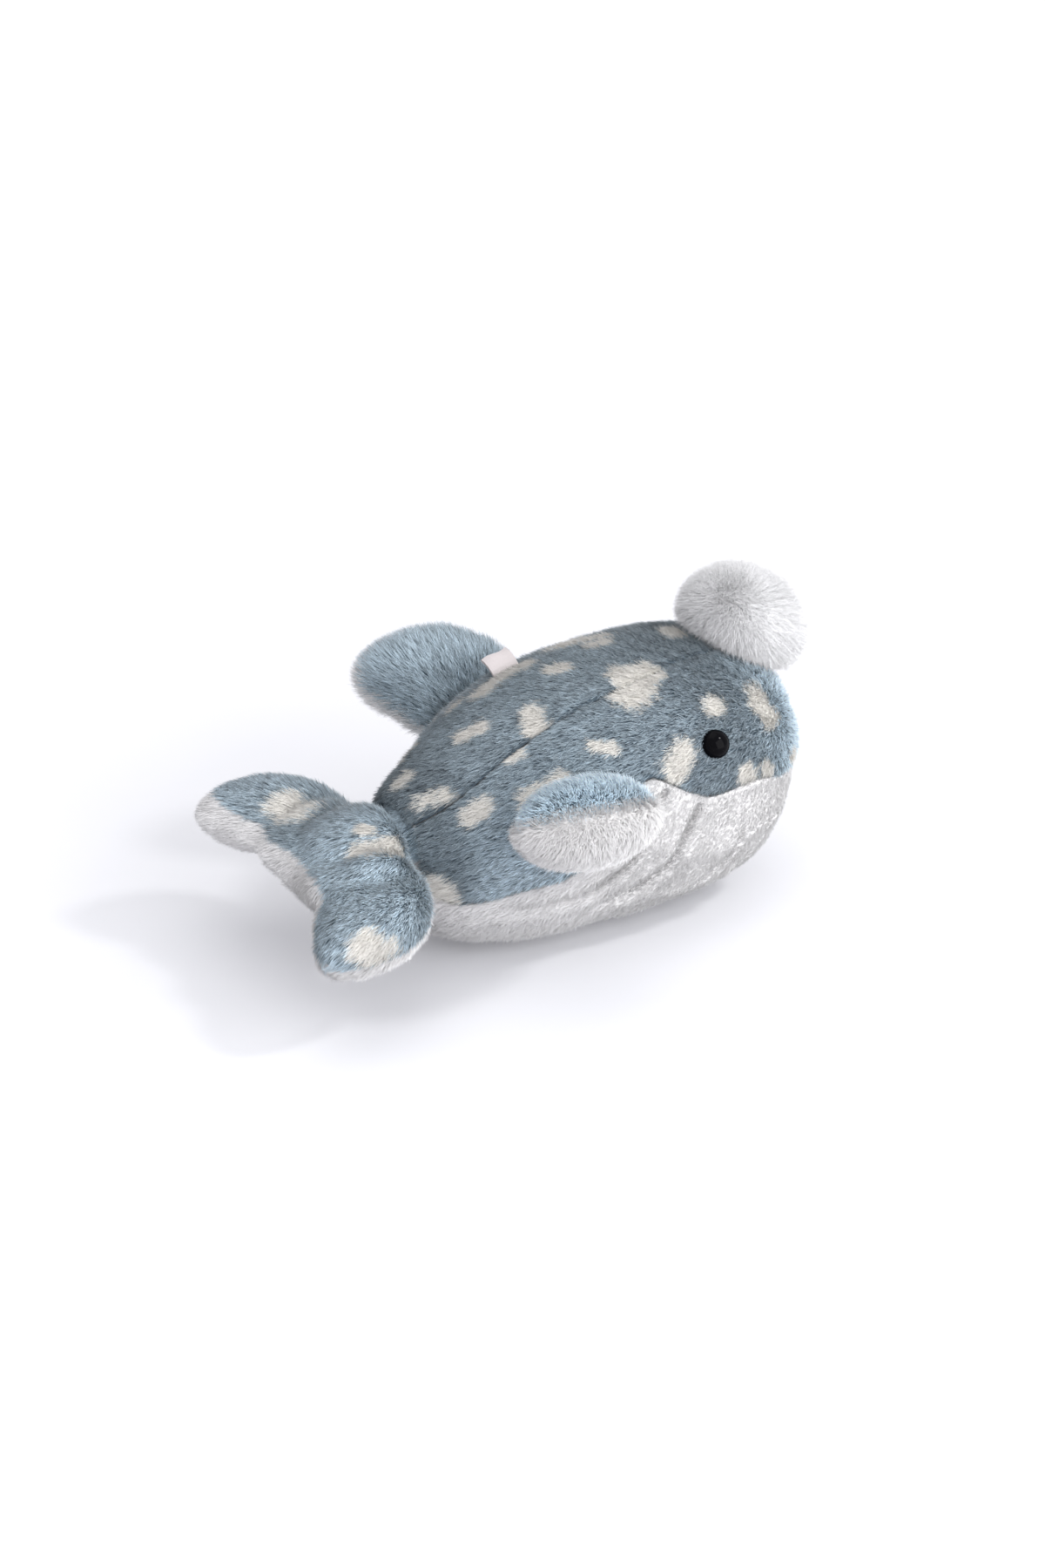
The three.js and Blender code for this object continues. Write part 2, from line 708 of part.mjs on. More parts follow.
// Ribbon folded over into a loop, its cut ends down at the seam
const label_seat = seatOnTrunk(label_along_share, backSeams(label_along_share)[0], label_seam_lift);
const label_outline = new THREE.Shape();
const outer_fold = label_fold_radius + label_thickness;
label_outline.moveTo(-outer_fold, 0);
label_outline.lineTo(-outer_fold, label_height - outer_fold);
label_outline.absarc(0, label_height - outer_fold, outer_fold, half_turn, 0, true);
label_outline.lineTo(outer_fold, 0);
label_outline.lineTo(label_fold_radius, 0);
label_outline.lineTo(label_fold_radius, label_height - outer_fold);
label_outline.absarc(0, label_height - outer_fold, label_fold_radius, 0, half_turn, false);
label_outline.lineTo(-label_fold_radius, 0);
label_outline.closePath();
const label_geometry = new THREE.ExtrudeGeometry(label_outline, {
  depth: label_width, bevelEnabled: false, curveSegments: fold_steps,
});
label_geometry.translate(0, 0, -label_width / 2);
label_geometry.rotateX(quarter_turn);
label_geometry.rotateZ(quarter_turn);
add(label_seat, 'sewn_in_label', label_geometry, satin);

export default whale;
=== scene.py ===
"""Looks of the plush whale: cloth, pile, eyes, pompon and label on the CAD frame."""

import math

import bmesh
import bpy
import numpy as np
from mathutils import Matrix, Vector
from mathutils.bvhtree import BVHTree


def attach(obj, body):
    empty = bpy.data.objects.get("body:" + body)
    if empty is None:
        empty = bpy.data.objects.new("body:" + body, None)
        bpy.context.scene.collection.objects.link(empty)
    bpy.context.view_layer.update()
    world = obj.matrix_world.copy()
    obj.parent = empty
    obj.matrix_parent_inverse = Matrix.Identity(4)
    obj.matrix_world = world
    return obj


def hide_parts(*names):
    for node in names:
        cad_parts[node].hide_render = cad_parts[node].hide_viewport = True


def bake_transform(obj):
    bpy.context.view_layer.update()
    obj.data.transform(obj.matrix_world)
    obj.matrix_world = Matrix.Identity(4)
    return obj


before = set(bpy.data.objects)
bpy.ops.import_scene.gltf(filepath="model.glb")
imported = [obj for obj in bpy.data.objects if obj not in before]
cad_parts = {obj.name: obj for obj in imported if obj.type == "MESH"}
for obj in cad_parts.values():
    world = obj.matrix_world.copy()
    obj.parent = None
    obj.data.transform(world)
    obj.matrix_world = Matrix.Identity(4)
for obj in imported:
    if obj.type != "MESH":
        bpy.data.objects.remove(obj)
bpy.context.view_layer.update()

# ---------------------------------------------------------------- camera, floor and light
# The toy stands on a white studio floor. Soft light comes from all round, with a broad lamp above, one at
# the front right and a small one that casts the shadow. The camera looks down from the right and behind.
LOOK_AT = Vector((0.024, 0.0, 0.055))
LOOK_FROM = Vector((-0.4547, -0.7568, 0.4695)).normalized()
CAMERA_DISTANCE = 1.5
IMAGE_HEIGHT = 1800
LOOK_AT_OFFSET = (121, 19)
LENS = 83.33

sideways = LOOK_FROM.cross(Vector((0, 0, -1))).normalized()
upward = LOOK_FROM.cross(sideways)
camera_data = bpy.data.cameras.new("camera")
camera_data.lens = LENS
camera_data.shift_x = -LOOK_AT_OFFSET[0] / IMAGE_HEIGHT
camera_data.shift_y = -LOOK_AT_OFFSET[1] / IMAGE_HEIGHT
camera = bpy.data.objects.new("camera", camera_data)
turn = Matrix((sideways, upward, LOOK_FROM)).transposed()
camera.matrix_world = Matrix.Translation(LOOK_AT + LOOK_FROM * CAMERA_DISTANCE) @ turn.to_4x4()
bpy.context.scene.collection.objects.link(camera)
bpy.context.scene.camera = camera
bpy.context.scene.view_settings.view_transform = "Standard"


class Nodes:
    """Adds and links the nodes of one material, world or node group."""

    def __init__(self, tree):
        self.tree = tree
        self.tree.nodes.clear()

    def add(self, kind, inputs=(), **settings):
        node = self.tree.nodes.new(kind)
        for key, value in settings.items():
            setattr(node, key, value)
        for key, value in dict(inputs).items():
            if isinstance(value, bpy.types.NodeSocket):
                self.tree.links.new(value, node.inputs[key])
            else:
                node.inputs[key].default_value = value
        return node.outputs


def blank_material(name):
    """A new material and the helper that fills it."""
    made = bpy.data.materials.new(name)
    made.use_nodes = True
    return made, Nodes(made.node_tree)


def seen_directly(n):
    """1 for rays that show a background in the picture, in a gloss or through glass, and 0 for light."""
    path = n.add("ShaderNodeLightPath")
    seen = n.add("ShaderNodeMath", {0: path["Is Camera Ray"], 1: path["Is Glossy Ray"]}, operation="MAXIMUM")
    return n.add("ShaderNodeMath", {0: seen[0], 1: path["Is Transmission Ray"]}, operation="MAXIMUM")[0]


def lamp(name, place, size, watts, colour):
    """A square area lamp that faces the middle of the toy."""
    data = bpy.data.lights.new(name, "AREA")
    data.size, data.energy, data.color = size, watts, colour
    piece = bpy.data.objects.new(name, data)
    piece.location = place
    piece.rotation_euler = (Vector(place) - LOOK_AT).to_track_quat("Z", "Y").to_euler()
    bpy.context.scene.collection.objects.link(piece)


lamp("lamp_above", (-0.1, 0.2, 1.3), 1.0, 3, (1.0, 0.99, 0.97))
lamp("lamp_front", (0.5, -1.35, 0.6), 1.4, 18.5, (0.98, 0.99, 1.0))
lamp("lamp_key", (0.544, -0.493, 0.888), 0.15, 3.4, (1.0, 1.0, 1.0))

world = bpy.data.worlds.new("world")
bpy.context.scene.world = world
world.use_nodes = True
n = Nodes(world.node_tree)
soft = n.add("ShaderNodeBackground", {"Color": (0.96, 0.965, 1.0, 1), "Strength": 0.93})
white = n.add("ShaderNodeBackground", {"Color": (1, 1, 1, 1), "Strength": 1.0})
both = n.add("ShaderNodeMixShader", {0: seen_directly(n), 1: soft[0], 2: white[0]})
n.add("ShaderNodeOutputWorld", {"Surface": both[0]})

# The floor gets whiter from near the toy outwards, in the picture only, so it meets the white beyond it
FLOOR_SIZE = 8.0
WHITE_FROM, WHITE_TO = 0.2, 1.2
GLOW_NEAR, GLOW_FAR = 0.04, 0.6
floor_material, n = blank_material("floor")
away = n.add("ShaderNodeVectorMath", {0: n.add("ShaderNodeTexCoord")["Object"]}, operation="LENGTH")["Value"]
fade = n.add("ShaderNodeMapRange", {0: away, 1: WHITE_FROM, 2: WHITE_TO, 3: GLOW_NEAR, 4: GLOW_FAR})[0]
fade = n.add("ShaderNodeMath", {0: fade, 1: seen_directly(n)}, operation="MULTIPLY")[0]
matt = n.add("ShaderNodeBsdfDiffuse", {"Color": (0.75, 0.75, 0.775, 1)})
glow = n.add("ShaderNodeEmission", {"Color": (1, 1, 1, 1), "Strength": fade})
total = n.add("ShaderNodeAddShader", {0: matt[0], 1: glow[0]})
n.add("ShaderNodeOutputMaterial", {"Surface": total[0]})
bm = bmesh.new()
bmesh.ops.create_grid(bm, x_segments=1, y_segments=1, size=FLOOR_SIZE / 2)
floor_mesh = bpy.data.meshes.new("floor")
bm.to_mesh(floor_mesh)
bm.free()
floor_mesh.materials.append(floor_material)
floor = bpy.data.objects.new("floor", floor_mesh)
bpy.context.scene.collection.objects.link(floor)

# ---------------------------------------------------------------- back strip and sides
# Three pieces of knitted plush sewn along the back, grey-blue with cream patches dyed into the pile.
# The seams sink between the plump pieces, and painted shade darkens the pile beside them. The pile is brushed
# towards the tail.
MM = 0.001
DYE_COLOURS = ("Blue Root", "Blue Tip", "Cream Root", "Cream Tip")


def dye_group():
    """Node group for every pile: colour from a strand's height, patch, tone (chance and painted light and
    shade) and a mottle, and the knit.
    """
    tree = bpy.data.node_groups.new("dyed pile", "ShaderNodeTree")
    for label in DYE_COLOURS:
        tree.interface.new_socket(label, in_out="INPUT", socket_type="NodeSocketColor")
    tree.interface.new_socket("Color", in_out="OUTPUT", socket_type="NodeSocketColor")
    tree.interface.new_socket("Normal", in_out="OUTPUT", socket_type="NodeSocketVector")
    m = Nodes(tree)
    given = m.add("NodeGroupInput")
    tip = m.add("ShaderNodeAttribute", attribute_name="tip")["Fac"]
    cream = m.add("ShaderNodeAttribute", attribute_name="cream")["Fac"]
    tone = m.add("ShaderNodeAttribute", attribute_name="tone")["Fac"]
    place = m.add("ShaderNodeTexCoord")["Object"]
    blue = m.add("ShaderNodeMix", {0: tip, 6: given[0], 7: given[1]}, data_type="RGBA")[2]
    pale = m.add("ShaderNodeMix", {0: tip, 6: given[2], 7: given[3]}, data_type="RGBA")[2]
    mixed = m.add("ShaderNodeMix", {0: cream, 6: blue, 7: pale}, data_type="RGBA")[2]
    mottle = m.add("ShaderNodeTexNoise", {"Vector": place, "Scale": 70.0, "Detail": 5.0})["Fac"]
    level = m.add("ShaderNodeMapRange", {0: mottle, 1: 0.25, 2: 0.75, 3: 0.93, 4: 1.07})[0]
    level = m.add("ShaderNodeMath", {0: level, 1: tone}, operation="MULTIPLY")[0]
    final = m.add("ShaderNodeHueSaturation", {"Value": level, "Color": mixed})[0]
    loops = m.add("ShaderNodeTexVoronoi", {"Vector": place, "Scale": 1000.0})["Distance"]
    bump = m.add("ShaderNodeBump", {"Height": loops, "Strength": 0.25, "Distance": 0.0002})[0]
    m.add("NodeGroupOutput", {0: final, 1: bump})
    return tree


dyed_pile = dye_group()


def material(name, colours, sheen=0.25):
    """Pile and its ground cloth in four colours: blue and cream, each at the root and at the tip."""
    made, m = blank_material(name)
    dye = m.add("ShaderNodeGroup", node_tree=dyed_pile)
    for label, colour in zip(DYE_COLOURS, colours):
        dye["Color"].node.inputs[label].default_value = (*colour, 1)
    shader = m.add("ShaderNodeBsdfPrincipled", {
        "Base Color": dye["Color"], "Roughness": 0.9, "Specular IOR Level": 0.15, "Sheen Weight": sheen,
        "Sheen Roughness": 0.5, "Normal": dye["Normal"]})[0]
    m.add("ShaderNodeOutputMaterial", {"Surface": shader})
    return made


def finished(name, mesh, body, surface):
    """Links a mesh as a piece that rides on a body, or leaves it free where body is None."""
    mesh.name = name
    mesh.materials.clear()
    mesh.materials.append(surface)
    piece = bpy.data.objects.new(name, mesh)
    bpy.context.scene.collection.objects.link(piece)
    if body:
        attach(piece, body)
    return piece


def merged(nodes):
    """A bmesh of copies of CAD nodes, each with its points joined."""
    bm = bmesh.new()
    for name in nodes:
        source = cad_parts[name]
        copy = source.data.copy()
        copy.transform(source.matrix_world)
        bm.from_mesh(copy)
        bpy.data.meshes.remove(copy)
    bmesh.ops.remove_doubles(bm, verts=bm.verts, dist=0.00002)
    return bm


def changed(bm, *modifiers):
    """The mesh of a bmesh after some modifiers are applied."""
    mesh = bpy.data.meshes.new("step")
    bm.to_mesh(mesh)
    bm.free()
    holder = bpy.data.objects.new("step", mesh)
    bpy.context.scene.collection.objects.link(holder)
    for kind, settings in modifiers:
        modifier = holder.modifiers.new(kind, kind)
        for key, value in settings.items():
            setattr(modifier, key, value)
    result = bpy.data.meshes.new_from_object(holder.evaluated_get(bpy.context.evaluated_depsgraph_get()))
    bpy.data.objects.remove(holder)
    bpy.data.meshes.remove(mesh)
    return result


def swollen(node, levels=2):
    """A CAD panel made smooth and plump: its edges round off, so the seams sink between panels."""
    bm = merged([node])
    bmesh.ops.join_triangles(bm, faces=bm.faces, angle_face_threshold=0.7, angle_shape_threshold=0.7)
    return changed(bm, ("SUBSURF", {"levels": levels, "render_levels": levels}))


def vertex_array(mesh, key="co"):
    """Places or normals of a mesh's vertices."""
    values = np.empty(len(mesh.vertices) * 3, np.float32)
    mesh.vertices.foreach_get(key, values)
    return values.reshape(-1, 3).astype(float)


def reshape(mesh, spots):
    """Moves a mesh's vertices to new places."""
    mesh.vertices.foreach_set("co", spots.astype(np.float32).ravel())
    mesh.update()


def tree_of(nodes):
    """A search tree of CAD nodes."""
    bm = merged(nodes)
    bmesh.ops.triangulate(bm, faces=bm.faces)
    tree = BVHTree.FromBMesh(bm)
    bm.free()
    return tree


def waves(points, length, seed, count=10):
    """Smooth noise between about -1 and 1, made of sine waves of about one length."""
    rng = np.random.default_rng(seed)
    ways = rng.normal(size=(count, 3))
    ways /= np.linalg.norm(ways, axis=1)[:, None]
    ways *= 2 * math.pi / (length * rng.uniform(0.7, 1.4, count))[:, None]
    return np.sin(points @ ways.T + rng.uniform(0, 2 * math.pi, count)).mean(axis=1) * math.sqrt(count) * 0.8


def wave_vectors(points, length, seed):
    """Smooth noise vectors."""
    return np.stack([waves(points, length, seed + k) for k in range(3)], axis=1)


def unit(vectors):
    """Vectors of length one."""
    return vectors / np.maximum(np.linalg.norm(vectors, axis=-1, keepdims=True), 1e-9)


def smooth(value):
    """Smooth step from 0 to 1."""
    value = np.clip(value, 0, 1)
    return value * value * (3 - 2 * value)


OUTWARD = 0.2


def roots(mesh, tree, per_mm2, seed, keep=None):
    """Random points on the face of a cloth that looks away from its filling, and their normals."""
    mesh.calc_loop_triangles()
    corners = np.empty(len(mesh.loop_triangles) * 3, np.int32)
    mesh.loop_triangles.foreach_get("vertices", corners)
    corners = corners.reshape(-1, 3)
    spots, facing = vertex_array(mesh), vertex_array(mesh, "normal")
    a, b, c = (spots[corners[:, k]] for k in range(3))
    cross = np.cross(b - a, c - a)
    area = np.linalg.norm(cross, axis=1) / 2
    middle = (a + b + c) / 3
    flat = unit(cross)
    outer = np.ones(len(middle), bool)
    if tree:
        nearest = np.array([tree.find_nearest(Vector(p))[0] for p in middle])
        outer = (unit(middle - nearest) * flat).sum(axis=1) > OUTWARD
    if keep is not None:
        outer &= keep(middle)
    chance = np.where(outer, area, 0.0)
    count = int(chance.sum() * 1e6 * per_mm2)
    rng = np.random.default_rng(seed)
    picked = rng.choice(len(middle), count, p=chance / chance.sum())
    s, t = rng.random(count), rng.random(count)
    over = s + t > 1
    s[over], t[over] = 1 - s[over], 1 - t[over]
    share = np.stack([1 - s - t, s, t], axis=1)[:, :, None]
    points = (spots[corners[picked]] * share).sum(axis=1)
    normals = unit((facing[corners[picked]] * share).sum(axis=1))
    return points, normals


def strand_shape():
    """Points and triangles of one closed three-sided strand, with z from 0 at the root to 1."""
    bm = bmesh.new()
    bmesh.ops.create_cone(bm, cap_ends=True, segments=3, radius1=1, radius2=0, depth=1,
                          matrix=Matrix.Translation((0, 0, 0.5)))
    bmesh.ops.remove_doubles(bm, verts=bm.verts, dist=0.001)
    bmesh.ops.triangulate(bm, faces=bm.faces)
    bmesh.ops.recalc_face_normals(bm, faces=bm.faces)
    bm.verts.index_update()
    points = np.array([v.co[:] for v in bm.verts])
    faces = np.array([[v.index for v in f.verts] for f in bm.faces])
    bm.free()
    return points, faces


FLOOR_CLEAR = 0.0001
MOST_TRIANGLES = 190000


def strands(name, points, normals, way, length, width, cream, tone, body, surface,
            curl=0.0, softness=0.6, skyward=0.0):
    """Real strands of pile from their roots. They are split into as few pieces as the triangle limit allows.

    Softness is the share of the cloth's normal in the shading, and skyward leans that normal up.
    """
    shape, faces = strand_shape()
    parts = math.ceil(len(points) * len(faces) / MOST_TRIANGLES)
    order = np.argsort(points[:, 0])
    pieces = []
    for part, chosen in enumerate(np.array_split(order, parts)):
        p, nrm, d, ln = points[chosen], normals[chosen], way[chosen], length[chosen]
        u = unit(np.cross(d, nrm) + 1e-6)
        v = np.cross(d, u)
        z = shape[:, 2][None, :, None]
        ring = shape[:, 0][None, :, None] * u[:, None] + shape[:, 1][None, :, None] * v[:, None]
        bend = unit(d - nrm * curl)
        along = d[:, None] * (z - 0.5 * z * z) + bend[:, None] * 0.5 * z * z
        spots = p[:, None] + ring * width + along * ln[:, None, None]
        spots[:, :, 2] = np.maximum(spots[:, :, 2], FLOOR_CLEAR)
        shade = nrm + np.array([0, 0, skyward])
        facing = unit((shade[:, None] * softness + unit(ring) * (1 - softness)).reshape(-1, 3))
        count, size = len(p), len(shape)
        mesh = bpy.data.meshes.new(name)
        mesh.vertices.add(count * size)
        mesh.vertices.foreach_set("co", spots.ravel())
        every = (faces[None] + np.arange(count)[:, None, None] * size).reshape(-1, 3)
        mesh.loops.add(every.size)
        mesh.loops.foreach_set("vertex_index", every.ravel().astype(np.int32))
        mesh.polygons.add(len(every))
        mesh.polygons.foreach_set("loop_start", np.arange(0, every.size, 3, dtype=np.int32))
        mesh.polygons.foreach_set("use_smooth", np.ones(len(every), bool))
        mesh.update(calc_edges=True)
        for key, value in (("tip", np.tile(shape[:, 2], count)), ("cream", np.repeat(cream[chosen], size)),
                           ("tone", np.repeat(tone[chosen], size))):
            mesh.attributes.new(key, "FLOAT", "POINT").data.foreach_set("value", value.astype(np.float32))
        side = math.ceil(math.sqrt(count))
        cell = np.stack([np.arange(count) % side, np.arange(count) // side], axis=1)
        inside = np.stack([0.5 + 0.3 * shape[:, 0] + 0.12 * shape[:, 1],
                           0.2 + 0.6 * shape[:, 2] + 0.12 * shape[:, 1]], axis=1)
        uv = ((cell[:, None] + inside[None]) / side).reshape(-1, 2)
        mesh.uv_layers.new(name="OFBake").data.foreach_set("uv", uv[every.ravel()].ravel().astype(np.float32))
        mesh.normals_split_custom_set_from_vertices(facing)
        label = name if parts == 1 else f"{name}_{part + 1}"
        pieces.append(finished(label, mesh, body, surface))
    return pieces


def leaned(points, normals, comb, lean, seed, spread=0.3, clump=0.004, stray=0.2, upright=0.0):
    """The way each strand grows: from the cloth's normal, leaned along the brushed direction."""
    rng = np.random.default_rng(seed)
    wished = comb + wave_vectors(points, clump, seed) * stray
    flat = unit(wished - normals * (wished * normals).sum(axis=1)[:, None])
    angle = (lean * (1 - upright) * (1 + 0.1 * waves(points, clump * 1.7, seed + 7)))[:, None]
    way = normals * np.cos(angle) + flat * np.sin(angle)
    return unit(way + rng.normal(size=points.shape) * spread * 0.5)


BLUE_SPREAD, CREAM_SPREAD, WHITE_SPREAD = 0.3, 0.07, 0.09
DARKEST, LIGHTEST = 0.3, 3.5


def strand_tone(points, rng, spread, cream=0.0, pale=1.0):
    """How light each strand is, by chance and with its neighbours; blue strands also take pale, a level of
    painted light and shade. Cream strands vary less than blue ones.
    """
    shared = waves(points * np.array([0.35, 1, 1]), 0.0017, int(rng.integers(1000)), 24)
    chance = rng.normal(size=len(points)) * 0.8 + 0.9 * shared
    blue_tone, cream_tone = pale * (1 + spread * chance), 1 + CREAM_SPREAD * chance
    return np.clip(blue_tone * (1 - cream) + cream_tone * cream, DARKEST, LIGHTEST)


FEATHER = 0.72


def patches(points, places, seed):
    """How far each point is inside the dyed patches: 1 inside, 0 outside, with a ragged edge."""
    ragged = waves(points, 0.012, seed) * 0.18 + waves(points, 0.004, seed + 1) * 0.1
    result = np.zeros(len(points))
    for first, last, radius in places:
        a, b = np.array(first) * MM, np.array(last) * MM
        along = b - a
        t = np.clip(((points - a) @ along) / max(along @ along, 1e-12), 0, 1)
        away = np.linalg.norm(points - a - along * t[:, None], axis=1) / (radius * MM)
        result = np.maximum(result, np.clip((1 + ragged - away) / FEATHER + 0.5, 0, 1))
    return result


def dyed(cream, rng):
    """Strands near a patch's edge take either colour, so the edge is feathered."""
    return np.clip((cream - rng.uniform(0.12, 0.88, len(cream))) / 0.3 + 0.5, 0, 1)


def no_cream(points):
    """No patch anywhere."""
    return np.zeros(len(points))


def paint(mesh, cream_of=no_cream):
    """Gives a cloth the attributes that its strands have."""
    points = vertex_array(mesh)
    for key, value in (("tip", np.zeros(len(points))), ("cream", cream_of(points)),
                       ("tone", np.ones(len(points)))):
        mesh.attributes.new(key, "FLOAT", "POINT").data.foreach_set("value", value.astype(np.float32))


BLUE_ROOT, BLUE_TIP = (0.10, 0.135, 0.165), (0.38, 0.455, 0.505)
CREAM_ROOT, CREAM_TIP = (0.80, 0.77, 0.71), (0.97, 0.945, 0.89)
WHITE_ROOT, WHITE_TIP = (0.86, 0.845, 0.84), (0.95, 0.94, 0.945)
blue_pile = material("pile_blue", (BLUE_ROOT, BLUE_TIP, CREAM_ROOT, CREAM_TIP))
white_pile = material("pile_white", (WHITE_ROOT, WHITE_TIP, WHITE_ROOT, WHITE_TIP))

# Dyed patches: two ends of a line and a radius, in millimetres. Those of the right side repeat on the left.
SIDE_PATCHES = [
    ((14, -16.5, 105.5), (23, -18.5, 106), 6.6), ((10.5, -26, 102.8), (13, -24, 103.8), 7.6),
    ((21, -20, 105), (12, -27, 102.5), 6.5), ((-39.3, -25, 92), (-43.5, -24.5, 91), 3.6),
    ((-6, -40.5, 90.5), (-13, -37.5, 92.6), 2.8), ((-77.5, -12.5, 75), (-70, -17, 78), 5.2),
    ((-64, -28.9, 71.3), (-59, -30, 74.8), 4.6), ((-42, -38.8, 78), (-30, -42, 81), 5.2),
    ((42.7, -37.7, 95.3), (42.7, -37.7, 95.3), 5.0), ((65.2, -34.5, 91), (67, -38.6, 85), 6.0),
    ((16.5, -50.5, 80), (22, -48.5, 85), 5.8), ((80.3, -38.5, 64), (81, -38, 60), 3.4),
    ((-78, -25.8, 42), (-75, -29, 37), 6.0), ((49.5, -52.5, 70), (51, -52, 68), 4.4),
    ((60, -49.8, 68), (62, -49, 66), 4.0),
]
BACK_PATCHES = [
    ((-7.0, 2.7, 106.6), (-3, 1.6, 107.2), 4.1), ((22, 12, 108.5), (17, 12, 108.5), 4.4),
    ((-33, 17.4, 98.5), (-13, 17.8, 103.5), 5.4), ((50.1, 6, 107.2), (49, 4, 107), 5.6),
    ((-29, -20, 98.2), (-27.1, -14.5, 101), 5.0), ((-52, 0.5, 92), (-44.8, -4, 95.6), 4.0),
    ((-76.3, 7.3, 75), (-74, 8, 76), 4.6), ((-77.5, -12.5, 75), (-70, -17, 78), 5.2),
    ((14, -16.5, 105.5), (23, -18.5, 106), 6.6),
]
EYE_SEAT = np.array([35.934, -48.247, 84.327]) * MM
MIRROR = np.array([1, -1, 1])
EYE_CLEAR = 0.0050


def side_cream(points):
    """Patches of a side piece, the same on the right and on the left."""
    right = points * np.where(points[:, 1:2] > 0, MIRROR, 1)
    return patches(right, SIDE_PATCHES, 31)


def back_cream(points):
    """Patches of the back strip."""
    return patches(points, BACK_PATCHES, 32)


def off_eyes(points):
    """True where a point is clear of both eyes."""
    right = points * np.where(points[:, 1:2] > 0, MIRROR, 1)
    return np.linalg.norm(right - EYE_SEAT, axis=1) > EYE_CLEAR


BRUSH_BACK = np.array([-1.0, 0.0, -0.12])
TRUNK_PANELS = ["back_panel", "side_panel_right", "side_panel_left", "belly_panel"]
SEAM_BARE, SEAM_REACH, SEAM_PILE_SHARE = 0.0008, 0.003, 0.4
STRAND_RADIUS, STRANDS_PER_MM2 = 0.000205, 3.8
SEAM_PAINTED_SHADE = 0.35
LEAN = 0.9
BACK_PILE_MM, PILE_CHANCE_MM = 4.5, 0.5
trunk_core = tree_of(["trunk_stuffing"])


def at_seams(points, node):
    """Distance of points on one panel of the trunk to the nearest of its other panels."""
    others = tree_of([name for name in TRUNK_PANELS if name != node])
    return np.array([others.find_nearest(Vector(p))[3] for p in points])


# Painted light and shade on the trunk's blue: a base level, lighter at the nose and low on the sides, darker
# on crown, cheeks and rear.
SIDE_PALE, NOSE_PAINTED_LIGHT, LOW_PAINTED_LIGHT = 1.24, 1.6, 0.7
CROWN_PAINTED_SHADE, CHEEK_PAINTED_SHADE, REAR_PAINTED_SHADE = 0.38, 0.22, 0.45


def pale(points):
    """How light the blue is: painted light at the nose and low on the sides, painted shade on crown, cheeks
    and rear.
    """
    nose = smooth((points[:, 0] - 0.050) / 0.035)
    crown = np.exp(-(((points[:, 0] - 0.045) / 0.02) ** 2)) * smooth((points[:, 2] - 0.085) / 0.012)
    low = smooth((0.080 - points[:, 2]) / 0.03) * smooth((0.02 - points[:, 0]) / 0.03)
    rear = smooth((-0.055 - points[:, 0]) / 0.02)
    cheek = smooth((points[:, 0] - 0.005) / 0.02) * smooth((0.095 - points[:, 2]) / 0.012)
    return (SIDE_PALE + NOSE_PAINTED_LIGHT * nose - CROWN_PAINTED_SHADE * crown - CHEEK_PAINTED_SHADE * cheek * (1 - nose)
            + LOW_PAINTED_LIGHT * low * (1 - rear) - REAR_PAINTED_SHADE * rear)


for node, cream_of, seed in (("back_panel", back_cream, 41), ("side_panel_right", side_cream, 51),
                             ("side_panel_left", side_cream, 61)):
    cloth = swollen(node)
    points, normals = roots(cloth, trunk_core, STRANDS_PER_MM2, seed, off_eyes)
    to_seam = at_seams(points, node)
    points, normals, to_seam = (value[to_seam > SEAM_BARE] for value in (points, normals, to_seam))
    rng = np.random.default_rng(seed)
    way = leaned(points, normals, BRUSH_BACK[None], LEAN, seed)
    length = (BACK_PILE_MM + 0.3 * waves(points, 0.012, seed)
              + rng.normal(size=len(points)) * PILE_CHANCE_MM) * MM
    clear_of_seam = smooth(to_seam / SEAM_REACH)
    length *= SEAM_PILE_SHARE + (1 - SEAM_PILE_SHARE) * clear_of_seam
    cream = dyed(cream_of(points), rng)
    tone = strand_tone(points, rng, BLUE_SPREAD, cream, pale(points))
    # Painted shade: the pile darkens towards the seams.
    tone *= 1 - SEAM_PAINTED_SHADE + SEAM_PAINTED_SHADE * clear_of_seam
    strands(node.replace("panel", "pile"), points, normals, way, length, STRAND_RADIUS, cream,
            tone, "trunk", blue_pile, curl=0.3)
    paint(cloth, cream_of)
    piece = finished(node.replace("panel", "cloth"), cloth, "trunk", blue_pile)
    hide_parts(node)

# ---------------------------------------------------------------- belly and throat
# One piece of white plush under the body. Its throat is sewn into puffed pleats with creased grooves
# between them, and its pile is shorter and curlier there than behind the flippers. The pile hides the
# cloth under it, so that cloth is thinned out to half its triangles at the end.
GROOVES = [
    [(14, -51, 78), (7, -54, 67), (2, -55, 58), (-3, -54.5, 50), (-8, -53, 43), (-17, -51, 37), (-29, -48, 32),
     (-50, -41, 31), (-66, -34, 36)],
    [(27, -54.5, 66), (21, -56, 56), (16.5, -55.5, 48), (11.5, -53, 38.5), (4, -50.5, 32), (-5, -48, 27.5),
     (-25, -42, 21), (-42, -36, 18)],
    [(49, -52, 46), (45, -50, 37), (41.5, -48, 30), (35, -46, 24), (26.5, -43, 18.5), (10, -38, 12),
     (-8, -32, 8), (-22, -28, 6)],
    [(66, -45, 44), (62, -43, 33), (56, -41, 24), (47, -38, 16), (33, -32, 9.5), (15, -26, 5)],
    [(79, -34, 42), (76, -32, 32), (70, -29, 22), (60, -25, 12), (46, -20, 6), (30, -15, 3)],
    [(88, -16, 42), (85, -15, 31), (78, -13, 19), (68, -11, 9), (52, -8, 4)],
]
GROOVE_DEPTH, GROOVE_WIDTH, RIDGE_HEIGHT, RIDGE_REACH = 0.0064, 0.0024, 0.0028, 0.008
# Height of the cloth's outer face over the filling, and the height that parts it from the inner face
CLOTH_FACE, INNER_FACE_BELOW = 0.0038, 0.0016
CLOTH_KEPT = 0.5
HEM, HEM_REACH = 0.001, 0.004
SOLE, SOLE_REACH = 0.001, 0.005
